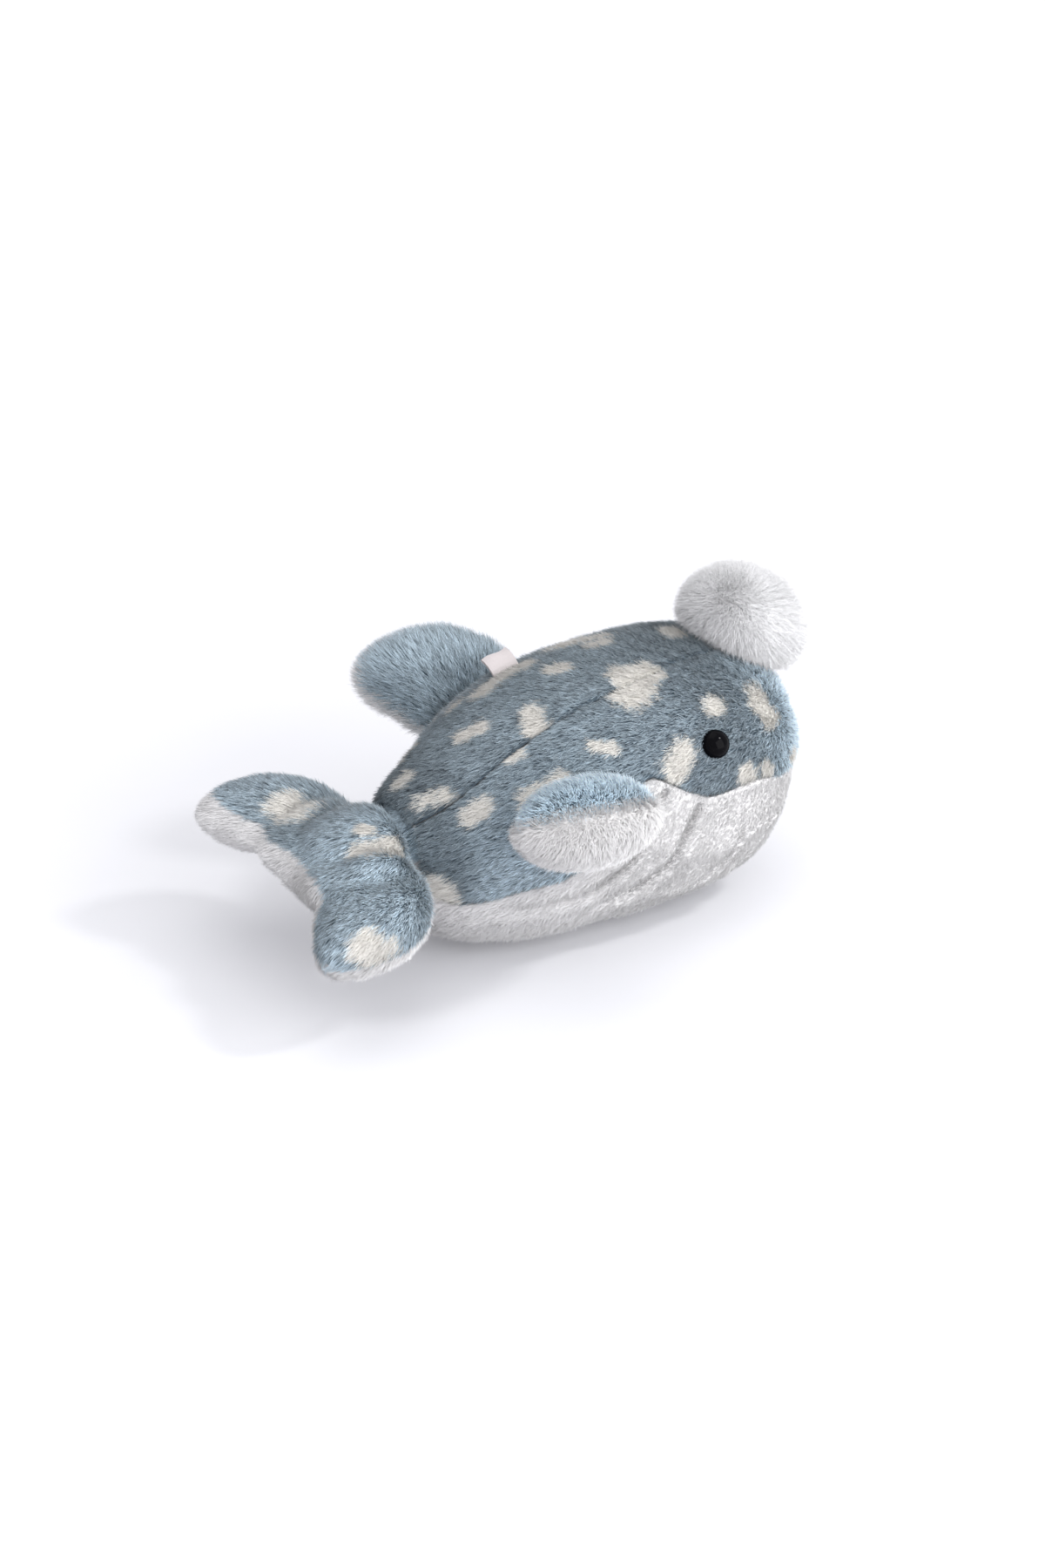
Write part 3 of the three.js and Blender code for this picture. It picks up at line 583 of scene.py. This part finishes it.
# Strands per square millimetre, and the height below which the belly lies on the floor and its pile is sparse
BELLY_PER_MM2, PRESSED_BELOW, PRESSED_SHARE = 3.4, 0.005, 0.3
BELLY_PILE_MM, THROAT_SHORTER_MM, BELLY_CHANCE_MM, SHORTER_BELOW = 4.2, 2.1, 0.3, 0.01
THROAT_DARKER, GROOVE_PAINTED_SHADE, GROOVE_SHORTER = 0.24, 0.65, 0.7


def on_cloth(line):
    """The corners of a line with more between them, all laid on the trunk's cloth."""
    corners = np.array(line) * MM
    fine = [a + (b - a) * t for a, b in zip(corners, corners[1:]) for t in (0, 0.25, 0.5, 0.75)]
    fine.append(corners[-1])
    below = np.array([trunk_core.find_nearest(Vector(p))[0] for p in fine])
    return below + unit(np.array(fine) - below) * CLOTH_FACE


def along_line(points, corners):
    """Distance of each point to a line of corners, and how far along it the nearest place is."""
    best, where = np.full(len(points), 9.0), np.zeros(len(points))
    for k, (a, b) in enumerate(zip(corners, corners[1:])):
        run = b - a
        t = np.clip(((points - a) @ run) / (run @ run), 0, 1)
        away = np.linalg.norm(points - a - run * t[:, None], axis=1)
        closer = away < best
        best[closer], where[closer] = away[closer], (k + t[closer]) / (len(corners) - 1)
    return best, where


def pleated(points):
    """How far the throat stands out at each point, and how near a groove it is, from 0 to 1.

    A groove is full from near its upper end and fades out over the last third.
    """
    right = points * np.where(points[:, 1:2] > 0, MIRROR, 1)
    ridge, groove = np.zeros(len(points)), np.zeros(len(points))
    for line in laid_grooves:
        away, where = along_line(right, line)
        strength = smooth(where / 0.1 + 0.2) * smooth((1 - where) / 0.35)
        ridge = np.maximum(ridge, strength * np.exp(-((away / RIDGE_REACH) ** 2)))
        groove = np.maximum(groove, strength * np.exp(-away / GROOVE_WIDTH))
    return RIDGE_HEIGHT * ridge - GROOVE_DEPTH * groove, groove


laid_grooves = [on_cloth(line) for line in GROOVES]
cloth = swollen("belly_panel", 3)
side_seams = tree_of(["side_panel_right", "side_panel_left"])
spots, facing = vertex_array(cloth), vertex_array(cloth, "normal")
below = np.array([trunk_core.find_nearest(Vector(p))[0] for p in spots])
lift = spots - below
height = np.linalg.norm(lift, axis=1)
outer = (height > INNER_FACE_BELOW) & ((lift * facing).sum(axis=1) > 0.3 * height)
to_seam = np.array([side_seams.find_nearest(Vector(p))[3] for p in spots])
weight = outer * smooth((to_seam - HEM) / HEM_REACH) * smooth((spots[:, 2] - SOLE) / SOLE_REACH)
stand, near_groove = pleated(spots)
wished = below + unit(lift) * (CLOTH_FACE + stand)[:, None]
reshape(cloth, spots + (wished - spots) * weight[:, None])

points, normals = roots(cloth, trunk_core, BELLY_PER_MM2, 71)
share = np.where(points[:, 2] < PRESSED_BELOW, PRESSED_SHARE, 1.0)
standing = np.random.default_rng(76).random(len(points)) < share
points, normals = points[standing], normals[standing]
rng = np.random.default_rng(71)
near_groove = pleated(points)[1]
throat = smooth((points[:, 0] + 0.03) / 0.03) * smooth((points[:, 2] - 0.004) / 0.01)
curly = wave_vectors(points, 0.0018, 75) * 0.4 + BRUSH_BACK * 0.8
comb = BRUSH_BACK * (1 - throat)[:, None] + curly * throat[:, None]
way = leaned(points, normals, comb, LEAN, 71, spread=0.45, clump=0.006)
length = (BELLY_PILE_MM - THROAT_SHORTER_MM * throat + rng.normal(size=len(points)) * BELLY_CHANCE_MM) * MM
length *= np.clip(points[:, 2] / SHORTER_BELOW, 0.3, 1) * (1 - GROOVE_SHORTER * near_groove)
# Painted shade in the grooves between the pleats darkens the pile there.
tone = 1 - THROAT_DARKER * throat + rng.normal(size=len(points)) * 0.05 - GROOVE_PAINTED_SHADE * near_groove ** 1.6
tone += (0.03 + 0.03 * throat) * waves(points, 0.0018, 77, 24)
strands("belly_pile", points, normals, way, length, STRAND_RADIUS, no_cream(points), tone,
        "trunk", white_pile, curl=0.4, skyward=0.3)
bm = bmesh.new()
bm.from_mesh(cloth)
cloth = changed(bm, ("DECIMATE", {"ratio": CLOTH_KEPT}))
paint(cloth)
piece = finished("belly_cloth", cloth, "trunk", white_pile)
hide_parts("belly_panel")

# ---------------------------------------------------------------- eyes
# Glossy black plastic domes, moulded with a stem that goes through the cloth and is locked in a washer.
# The profile gives radius and height in millimetres, from the top of the dome to the end of the stem.
DOME = [(0, 5.2), (1.6, 5.05), (3.0, 4.6), (4.2, 3.8), (5.2, 2.6), (5.8, 1.3), (6.0, 0.2), (5.9, -0.3),
        (5.4, -0.55), (1.6, -0.6), (1.6, -8.0), (1.2, -8.6), (0, -8.6)]
SPIN_STEPS = 64
GRAIN_INPUTS = ("Scale", "Detail", "Smoothest", "Roughest")


def grain_group():
    """Node group for moulded plastic and thread: uneven roughness and a faint bump from one noise."""
    tree = bpy.data.node_groups.new("fine grain", "ShaderNodeTree")
    for label in GRAIN_INPUTS:
        tree.interface.new_socket(label, in_out="INPUT", socket_type="NodeSocketFloat")
    tree.interface.new_socket("Roughness", in_out="OUTPUT", socket_type="NodeSocketFloat")
    tree.interface.new_socket("Normal", in_out="OUTPUT", socket_type="NodeSocketVector")
    m = Nodes(tree)
    given = m.add("NodeGroupInput")
    place = m.add("ShaderNodeTexCoord")["Object"]
    noise = m.add("ShaderNodeTexNoise", {"Vector": place, "Scale": given[0], "Detail": given[1]})["Fac"]
    rough = m.add("ShaderNodeMapRange", {0: noise, 1: 0.3, 2: 0.7, 3: given[2], 4: given[3]})[0]
    bump = m.add("ShaderNodeBump", {"Height": noise, "Strength": 0.2, "Distance": 0.0001})[0]
    m.add("NodeGroupOutput", {0: rough, 1: bump})
    return tree


fine_grain = grain_group()


def grain(m, *values):
    """Adds the grain to a material, with a value for each of its inputs."""
    return m.add("ShaderNodeGroup", dict(zip(GRAIN_INPUTS, values)), node_tree=fine_grain)


eye_black, m = blank_material("eye_black")
shader = m.add("ShaderNodeBsdfPrincipled", {
    "Base Color": (0.002, 0.002, 0.003, 1), "Roughness": grain(m, 260.0, 3.0, 0.04, 0.08)["Roughness"],
    "Specular IOR Level": 0.05})[0]
m.add("ShaderNodeOutputMaterial", {"Surface": shader})


def spun(profile, seat, out):
    """A closed turned shape from a profile of radius and height in millimetres, set on its seat."""
    bm = bmesh.new()
    ring = [bm.verts.new((r * MM, 0, z * MM)) for r, z in profile]
    edges = [bm.edges.new(pair) for pair in zip(ring, ring[1:])]
    bmesh.ops.spin(bm, geom=ring + edges, cent=(0, 0, 0), axis=(0, 0, 1), angle=2 * math.pi, steps=SPIN_STEPS,
                   use_merge=True)
    bmesh.ops.remove_doubles(bm, verts=bm.verts, dist=0.00001)
    bmesh.ops.recalc_face_normals(bm, faces=bm.faces)
    for face in bm.faces:
        face.smooth = True
    turn = Vector(out).to_track_quat("Z", "Y").to_matrix().to_4x4()
    bm.transform(Matrix.Translation(Vector(seat)) @ turn)
    mesh = bpy.data.meshes.new("spun")
    bm.to_mesh(mesh)
    bm.free()
    return mesh


EYE_OUT = np.array([0.0470, -0.8533, 0.5193])
for side, mirror in (("right", 1), ("left", MIRROR)):
    mesh = spun(DOME, EYE_SEAT * mirror, EYE_OUT * mirror)
    piece = finished(f"eye_dome_{side}", mesh, "trunk", eye_black)
    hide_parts(f"eye_{side}")

# ---------------------------------------------------------------- pompon
# A gathered disc of long white pile round a ball of filling, tied at the neck with thread. It sags a little
# on the head, and its hair is longer towards the nose.
POMPON_SEAT = np.array([73.022, 0, 101.644]) * MM
POMPON_OUT = np.array([0.4731, 0, 0.8810])
POMPON_LIFT, NECK_REACH = 0.011, 0.004
POMPON_FULL, FULL_BEYOND = 0.003, 0.011
POMPON_SQUAT, POMPON_WIDE = 0.86, 1.05
POMPON_DROOP = np.array([0.12, -0.05, -0.4])
POMPON_PER_MM2, POMPON_STRAND_RADIUS = 14.0, 0.00012
HAIR_MM, TOP_SHORTER_MM, FRONT_LONGER_MM, HAIR_CHANCE_MM = 6.8, 1.4, 2.0, 1.2
pompon_middle = POMPON_SEAT + POMPON_OUT * POMPON_LIFT


def settled_on_head(points):
    """The pompon sags: lower along its neck and wider across it."""
    arm = points - POMPON_SEAT
    height = (arm @ POMPON_OUT)[:, None] * POMPON_OUT
    above = smooth((arm @ POMPON_OUT) / NECK_REACH)[:, None]
    return points + above * (height * (POMPON_SQUAT - 1) + (arm - height) * (POMPON_WIDE - 1))


long_pile = material("long_pile", ((0.95, 0.95, 0.955), (0.965, 0.96, 0.97)) * 2, sheen=0.6)
cloth = swollen("pompon_cover", 1)
balloon = vertex_array(cloth)
from_middle = np.linalg.norm(balloon - pompon_middle, axis=1)[:, None]
clear_of_neck = smooth((from_middle - FULL_BEYOND) / NECK_REACH)
balloon += (balloon - pompon_middle) / from_middle * POMPON_FULL * clear_of_neck
reshape(cloth, settled_on_head(balloon))
points = roots(cloth, tree_of(["pompon_filling"]), POMPON_PER_MM2, 81)[0]
rng = np.random.default_rng(81)
spread = unit(points - pompon_middle)
tufts = wave_vectors(points, 0.02, 82) * 0.12 + wave_vectors(points, 0.003, 85) * 0.08
way = unit(spread + POMPON_DROOP + tufts + rng.normal(size=points.shape) * 0.22)
length = (HAIR_MM - TOP_SHORTER_MM * np.clip(spread[:, 2], 0, 1) ** 2 + FRONT_LONGER_MM * spread[:, 0]
          + rng.normal(size=len(points)) * HAIR_CHANCE_MM) * MM
tone = 1.05 + rng.normal(size=len(points)) * 0.04 + 0.05 * waves(points, 0.0014, 84, 24)
strands("pompon_pile", points, spread, way, length, POMPON_STRAND_RADIUS, no_cream(points), tone,
        "pompon", long_pile, softness=0.95, skyward=2.0)
paint(cloth)
piece = finished("pompon_cloth", cloth, "pompon", long_pile)
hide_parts("pompon_cover")

# ---------------------------------------------------------------- flippers
# Two flat bags of plush, blue on top and white beneath, turned out, lightly filled and sewn to the sides.
# Their open ends are tucked into the trunk. The left one lies higher, brushed outwards, and has settled a
# little forward.
# Each flipper's pale is a level of painted light on the same blue: the right one is painted much lighter than
# the left one.
FLIPPERS = {
    "right": {
        "root": np.array([-22.16, -50.954, 67.781]) * MM, "out": np.array([-0.1180, -0.8398, 0.5299]),
        "settled": np.array([0.0, 0.0, 0.0]), "top_fuller": 0.0, "underside_fuller": 0.0025,
        "tuck": 0.0035, "tuck_reach": 0.004, "pile_mm": 4.6, "brushed_out": 0.1, "pale": 3.0,
    },
    "left": {
        "root": np.array([-22.16, 50.954, 67.781]) * MM, "out": np.array([-0.1034, 0.7359, 0.6691]),
        "settled": np.array([0.0045, 0.001, 0.0015]), "top_fuller": 0.0015, "underside_fuller": 0.0015,
        "tuck": 0.009, "tuck_reach": 0.012, "pile_mm": 8.0, "brushed_out": 2.2, "pale": 1.55,
    },
}
TIP_REACH, TIP_UPRIGHT = 0.014, 0.6

for side, limb in FLIPPERS.items():
    root, out = limb["root"], limb["out"]
    core = tree_of([f"flipper_stuffing_{side}"])
    for face, surface, slot in (("top", blue_pile, "pile_blue"), ("underside", white_pile, "pile_white")):
        node = f"flipper_{face}_{side}"
        cloth = swollen(node)
        full = smooth((vertex_array(cloth) - root) @ out / 0.01)[:, None]
        reshape(cloth, vertex_array(cloth) + vertex_array(cloth, "normal") * limb[face + "_fuller"] * full)
        spots = vertex_array(cloth)
        near_end = np.clip(1 - (spots - root) @ out / limb["tuck_reach"], 0, 1)
        reshape(cloth, spots - out * (limb["tuck"] * near_end)[:, None])
        seed = 91 + 10 * (face == "top") + 20 * (side == "right")
        points, normals = roots(cloth, core, STRANDS_PER_MM2, seed)
        points += limb["settled"]
        cloth.transform(Matrix.Translation(Vector(limb["settled"])))
        rng = np.random.default_rng(seed)
        comb = (out * limb["brushed_out"] + np.array([-1, 0, -0.25]))[None]
        reach = (points - root) @ out
        at_tip = smooth((reach - reach.max() + TIP_REACH) / TIP_REACH)
        way = leaned(points, normals, comb, LEAN, seed, upright=TIP_UPRIGHT * at_tip)
        length = (limb["pile_mm"] + rng.normal(size=len(points)) * PILE_CHANCE_MM) * MM
        top = face == "top"
        # The top's blue takes its flipper's level of painted light.
        tone = (strand_tone(points, rng, BLUE_SPREAD, pale=limb["pale"]) if top
                else strand_tone(points, rng, WHITE_SPREAD))
        pieces = strands(node + "_pile", points, normals, way, length, STRAND_RADIUS, no_cream(points), tone,
                         None, surface, curl=0.3, skyward=0.0 if top else 0.8)
        paint(cloth)
        piece = finished(node + "_cloth", cloth, None, surface)
        for part in pieces + [piece]:
            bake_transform(part)
        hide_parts(node)

# ---------------------------------------------------------------- tail and flukes
# The tail runs into its two flukes as one plump form, blue on top and white beneath, seamed round the rim
# and sewn to the end of the trunk. The form is remeshed from the solids and smoothed, then cut at the rim
# and round the flukes' roots.
FLUKE_PATCHES = [
    ((-114, 31, 58.5), (-109, 24, 53.5), 8.6), ((-101, -8.5, 65.3), (-99.5, -9, 65.5), 3.1),
    ((-106.5, -17, 60), (-96, -18.5, 59.6), 5.7), ((-127, -62, 47), (-118, -65.5, 45), 7.4),
]
TAIL_ROOT = np.array([-82.0, 0, 50.185]) * MM
RIM_TILT, RIM_START = 0.35, -0.112
TAIL_PALE, TAIL_PILE_MM = 1.85, 4.6
FLUKE_ROOTS = {
    "right": (np.array([-109.72, -23.3, 50.185]) * MM, np.array([0, -0.3090, 0.9511])),
    "left": (np.array([-109.72, 23.3, 50.185]) * MM, np.array([0, -0.1045, 0.9945])),
}
VOXEL, SMOOTHINGS = 0.0017, 22
# Where the form is cut: the tail's front and rear ends, and half its width beside the flukes
TAIL_FRONT, TAIL_SPLIT, TAIL_HALF = -0.078, -0.097, 0.0225
TRUNK_MARGIN, EDGE_TUCK = 0.003, 0.0035
# Painted shade in the hollow before the far fluke and on that fluke
HOLLOW_PAINTED_SHADE, FAR_FLUKE_PAINTED_SHADE = 0.7, 0.3
# Fullness between the tail and each fluke: steps back, inwards (a share) and up, then three half sizes
GUSSETS = (((0.003, 0, 0), (0.017, 0.010, 0.0125)), ((-0.011, 0.2, -0.001), (0.012, 0.015, 0.009)),
           ((-0.008, 0.7, -0.004), (0.013, 0.014, 0.010)), ((-0.009, -0.4, 0.0), (0.011, 0.015, 0.0075)))
CLOTH_THICKNESS = 0.0022
tail_names = [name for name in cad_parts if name.startswith(("tail_", "fluke_"))]
bm = merged(tail_names + TRUNK_PANELS + ["trunk_stuffing"])
for root, _ in FLUKE_ROOTS.values():
    for (back, inwards, up), size in GUSSETS:
        middle = root * np.array([1, 1 - inwards, 1]) + np.array([back, 0, up])
        bmesh.ops.create_uvsphere(bm, u_segments=24, v_segments=12, radius=1, matrix=Matrix.LocRotScale(
            Vector(middle), None, Vector(size)))
form = changed(bm, ("REMESH", {"mode": "VOXEL", "voxel_size": VOXEL}),
               ("SMOOTH", {"factor": 0.5, "iterations": SMOOTHINGS}))
tail_tree, trunk_tree = tree_of(tail_names), tree_of(TRUNK_PANELS)


def fluke_cream(points):
    """Patches on top of the tail and the flukes."""
    return patches(points, FLUKE_PATCHES, 33)


def to_tail_and_trunk(points):
    """Distances of points to the solids of the tail and the flukes, and to those of the trunk's cloth."""
    return (np.array([tree.find_nearest(Vector(p))[3] for p in points]) for tree in (tail_tree, trunk_tree))


def seam_side(points):
    """Distance of points above the seam between the top and the underside of the tail and the flukes."""
    above = points[:, 2] - TAIL_ROOT[2]
    for root, up in FLUKE_ROOTS.values():
        beyond = smooth((points[:, 1] * np.sign(root[1]) - 0.014) / 0.018)
        above += beyond * ((points - root) @ up - above)
    tilt = RIM_TILT * smooth((points[:, 1] + 0.045) / 0.03)
    return above + tilt * np.clip(points[:, 0] - RIM_START, -1, 0)


bm = bmesh.new()
bm.from_mesh(form)
middles = np.array([f.calc_center_median()[:] for f in bm.faces])
to_tail, to_trunk = to_tail_and_trunk(middles)
wanted = (to_tail < to_trunk + TRUNK_MARGIN) & (middles[:, 0] < TAIL_FRONT)
on_tail = (middles[:, 0] > TAIL_SPLIT) & (np.abs(middles[:, 1]) < TAIL_HALF)
region = np.where(on_tail, 0, np.where(middles[:, 1] < 0, 1, 2)) * 2 + (seam_side(middles) < 0)
region[~wanted] = -1
bm.free()
PARTS = ["tail_top_panel", "tail_underside_panel", "fluke_top_right", "fluke_underside_right",
         "fluke_top_left", "fluke_underside_left"]
for number, node in enumerate(PARTS):
    bm = bmesh.new()
    bm.from_mesh(form)
    bm.faces.ensure_lookup_table()
    bmesh.ops.delete(bm, geom=[f for f, r in zip(bm.faces, region) if r != number], context="FACES")
    sheet = changed(bm)
    spots, facing = vertex_array(sheet), vertex_array(sheet, "normal")
    to_tail, to_trunk = to_tail_and_trunk(spots)
    near_trunk = smooth((to_tail - to_trunk) / TRUNK_MARGIN) * smooth((spots[:, 0] + 0.1) / 0.01)
    reshape(sheet, spots - facing * (EDGE_TUCK * near_trunk)[:, None])
    for face in sheet.polygons:
        face.use_smooth = True
    top = "top" in node
    seed = 131 + number
    points, normals = roots(sheet, None, STRANDS_PER_MM2, seed)
    rng = np.random.default_rng(seed)
    outward = 0.5 * np.sign(points[:, 1]) * np.clip(np.abs(points[:, 1]) / 0.03, 0, 1)
    comb = np.stack([np.full(len(points), -0.9), outward, np.full(len(points), -0.15)], axis=1)
    way = leaned(points, normals, comb, 0.95, seed, spread=0.22, stray=0.1)
    length = (TAIL_PILE_MM + rng.normal(size=len(points)) * PILE_CHANCE_MM) * MM
    cream = dyed(fluke_cream(points), rng) if top else no_cream(points)
    # Painted shade in the hollow before the far fluke and on that fluke
    hollow = np.exp(-((points[:, 1] - 0.018) / 0.012) ** 2)
    far = smooth((points[:, 1] - 0.02) / 0.01)
    paleness = TAIL_PALE - HOLLOW_PAINTED_SHADE * hollow - FAR_FLUKE_PAINTED_SHADE * far
    tone = (strand_tone(points, rng, BLUE_SPREAD, cream, paleness) if top
            else strand_tone(points, rng, WHITE_SPREAD))
    surface, slot = (blue_pile, "pile_blue") if top else (white_pile, "pile_white")
    pieces = strands(node + "_pile", points, normals, way, length, STRAND_RADIUS, cream, tone,
                     None, surface, curl=0.3, skyward=0.0 if top else 0.6)
    bm = bmesh.new()
    bm.from_mesh(sheet)
    cloth = changed(bm, ("SOLIDIFY", {"thickness": CLOTH_THICKNESS, "offset": -1.0}))
    paint(cloth, fluke_cream if top else no_cream)
    piece = finished(node + "_cloth", cloth, None, surface)
    for part in pieces + [piece]:
        if number < 2:
            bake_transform(part)
        else:
            side = "right" if number < 4 else "left"
            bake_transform(part)
    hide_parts(node)

# ---------------------------------------------------------------- label
# A short length of white satin ribbon, folded once and caught in the left seam of the back. It is blank.
LABEL_SEAT = Matrix(((0.9703, 0.0492, -0.2370, -0.019591), (0.0492, 0.9187, 0.3919, 0.023629),
                     (0.2370, -0.3919, 0.8890, 0.100548), (0, 0, 0, 1)))
RIBBON_WIDTH, RIBBON_HEIGHT, RIBBON_THICK, RIBBON_GAP, RIBBON_DEEP = 12, 10, 0.3, 0.8, 2.5
# Radius of the curl that the ribbon has taken on, in millimetres, with a slight wave across it
RIBBON_CURL, RIBBON_WAVE = 8.0, 0.4

satin, m = blank_material("satin")
place = m.add("ShaderNodeTexCoord")["Object"]
weave = m.add("ShaderNodeTexWave", {"Vector": place, "Scale": 900.0, "Distortion": 0.6},
              wave_type="BANDS")["Fac"]
bump = m.add("ShaderNodeBump", {"Height": weave, "Strength": 0.3, "Distance": 0.0001})[0]
shade = m.add("ShaderNodeMix", {0: weave, 6: (0.48, 0.44, 0.44, 1), 7: (0.58, 0.53, 0.53, 1)},
              data_type="RGBA")[2]
shader = m.add("ShaderNodeBsdfPrincipled", {
    "Base Color": shade, "Roughness": 0.55, "Anisotropic": 0.5, "Normal": bump})[0]
m.add("ShaderNodeOutputMaterial", {"Surface": shader})


def ribbon_outline():
    """Outline of the folded ribbon seen from its end, in millimetres: across and up."""
    outer = RIBBON_THICK + RIBBON_GAP / 2
    turn = [(math.cos(a), math.sin(a)) for a in np.linspace(0, math.pi, 9)]
    top = RIBBON_HEIGHT - outer
    over = [(outer * c, top + outer * s) for c, s in turn]
    under = [(RIBBON_GAP / 2 * c, top + RIBBON_GAP / 2 * s) for c, s in reversed(turn)]
    steps = np.linspace(-RIBBON_DEEP, top, 8)[:-1]
    return ([(outer, z) for z in steps] + over + [(-outer, z) for z in reversed(steps)]
            + [(-RIBBON_GAP / 2, z) for z in steps] + under + [(RIBBON_GAP / 2, z) for z in reversed(steps)])


bm = bmesh.new()
ends = [bm.verts.new((-RIBBON_WIDTH / 2 * MM, y * MM, z * MM)) for y, z in ribbon_outline()]
face = bm.faces.new(ends)
grown = bmesh.ops.extrude_face_region(bm, geom=[face])["geom"]
far_end = [v for v in grown if isinstance(v, bmesh.types.BMVert)]
bmesh.ops.translate(bm, verts=far_end, vec=(RIBBON_WIDTH * MM, 0, 0))
lengthways = [e for e in bm.edges if abs(e.verts[0].co.x - e.verts[1].co.x) > MM]
bmesh.ops.subdivide_edges(bm, edges=lengthways, cuts=9)
for vert in bm.verts:
    x, y, z = vert.co / MM
    if z > 0:
        turn = z / RIBBON_CURL
        y += RIBBON_WAVE * turn * math.sin(x * 0.5)
        vert.co.y = (RIBBON_CURL - (RIBBON_CURL - y) * math.cos(turn)) * MM
        vert.co.z = (RIBBON_CURL - y) * math.sin(turn) * MM
bmesh.ops.triangulate(bm, faces=[f for f in bm.faces if len(f.verts) > 4])
bmesh.ops.recalc_face_normals(bm, faces=bm.faces)
bm.transform(LABEL_SEAT)
mesh = bpy.data.meshes.new("label")
bm.to_mesh(mesh)
bm.free()
piece = finished("label_ribbon", mesh, "trunk", satin)
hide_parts("sewn_in_label")

# ---------------------------------------------------------------- fillings, washers and thread
# Loose white polyester fibre, pushed in by hand, so its surface is lumpy under the cloth. The eyes' stems
# are locked by pale plastic washers, and a thread gathers the pompon's neck.
fibre, m = blank_material("filling")
place = m.add("ShaderNodeTexCoord")["Object"]
tangle = m.add("ShaderNodeTexNoise", {
    "Vector": place, "Scale": 900.0, "Detail": 8.0, "Distortion": 2.0})["Fac"]
shade = m.add("ShaderNodeMix", {0: tangle, 6: (0.62, 0.62, 0.62, 1), 7: (0.9, 0.9, 0.9, 1)},
              data_type="RGBA")[2]
bump = m.add("ShaderNodeBump", {"Height": tangle, "Strength": 0.8, "Distance": 0.0006})[0]
shader = m.add("ShaderNodeBsdfPrincipled", {"Base Color": shade, "Roughness": 0.95, "Normal": bump})[0]
m.add("ShaderNodeOutputMaterial", {"Surface": shader})

LUMP_DEPTH, LUMP_SIZE = 0.0008, 0.007
for name in [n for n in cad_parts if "stuffing" in n or n == "pompon_filling"]:
    mesh = swollen(name, 1)
    spots, facing = vertex_array(mesh), vertex_array(mesh, "normal")
    spots -= facing * (LUMP_DEPTH * np.clip(0.5 + 0.5 * waves(spots, LUMP_SIZE, 201), 0, 1))[:, None]
    if name == "pompon_filling":
        spots = settled_on_head(spots)
    if name == "flipper_stuffing_left":
        spots += FLIPPERS["left"]["settled"]
    reshape(mesh, spots)
    body = "trunk" if name.startswith("trunk") else "tail" if name.startswith("tail") else (
        "pompon" if name.startswith("pompon") else name.replace("_stuffing", ""))
    label = name.replace("stuffing", "fibre").replace("filling", "fibre")
    piece = finished(label, mesh, body, fibre)
    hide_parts(name)


def plain(name, colour, roughness, scale):
    """A plain moulded or spun surface with a faint grain."""
    made, m = blank_material(name)
    given = grain(m, scale, 4.0, roughness - 0.08, roughness + 0.08)
    shader = m.add("ShaderNodeBsdfPrincipled", {
        "Base Color": (*colour, 1), "Roughness": given["Roughness"], "Normal": given["Normal"]})[0]
    m.add("ShaderNodeOutputMaterial", {"Surface": shader})
    return made


washer_plastic = plain("washer", (0.78, 0.78, 0.74), 0.4, 400.0)
thread_spun = plain("thread", (0.8, 0.8, 0.8), 0.8, 3000.0)
for name, surface in (("eye_washer_right", washer_plastic), ("eye_washer_left", washer_plastic),
                      ("pompon_thread", thread_spun)):
    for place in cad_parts[name].material_slots:
        place.link = "OBJECT"
        place.material = surface
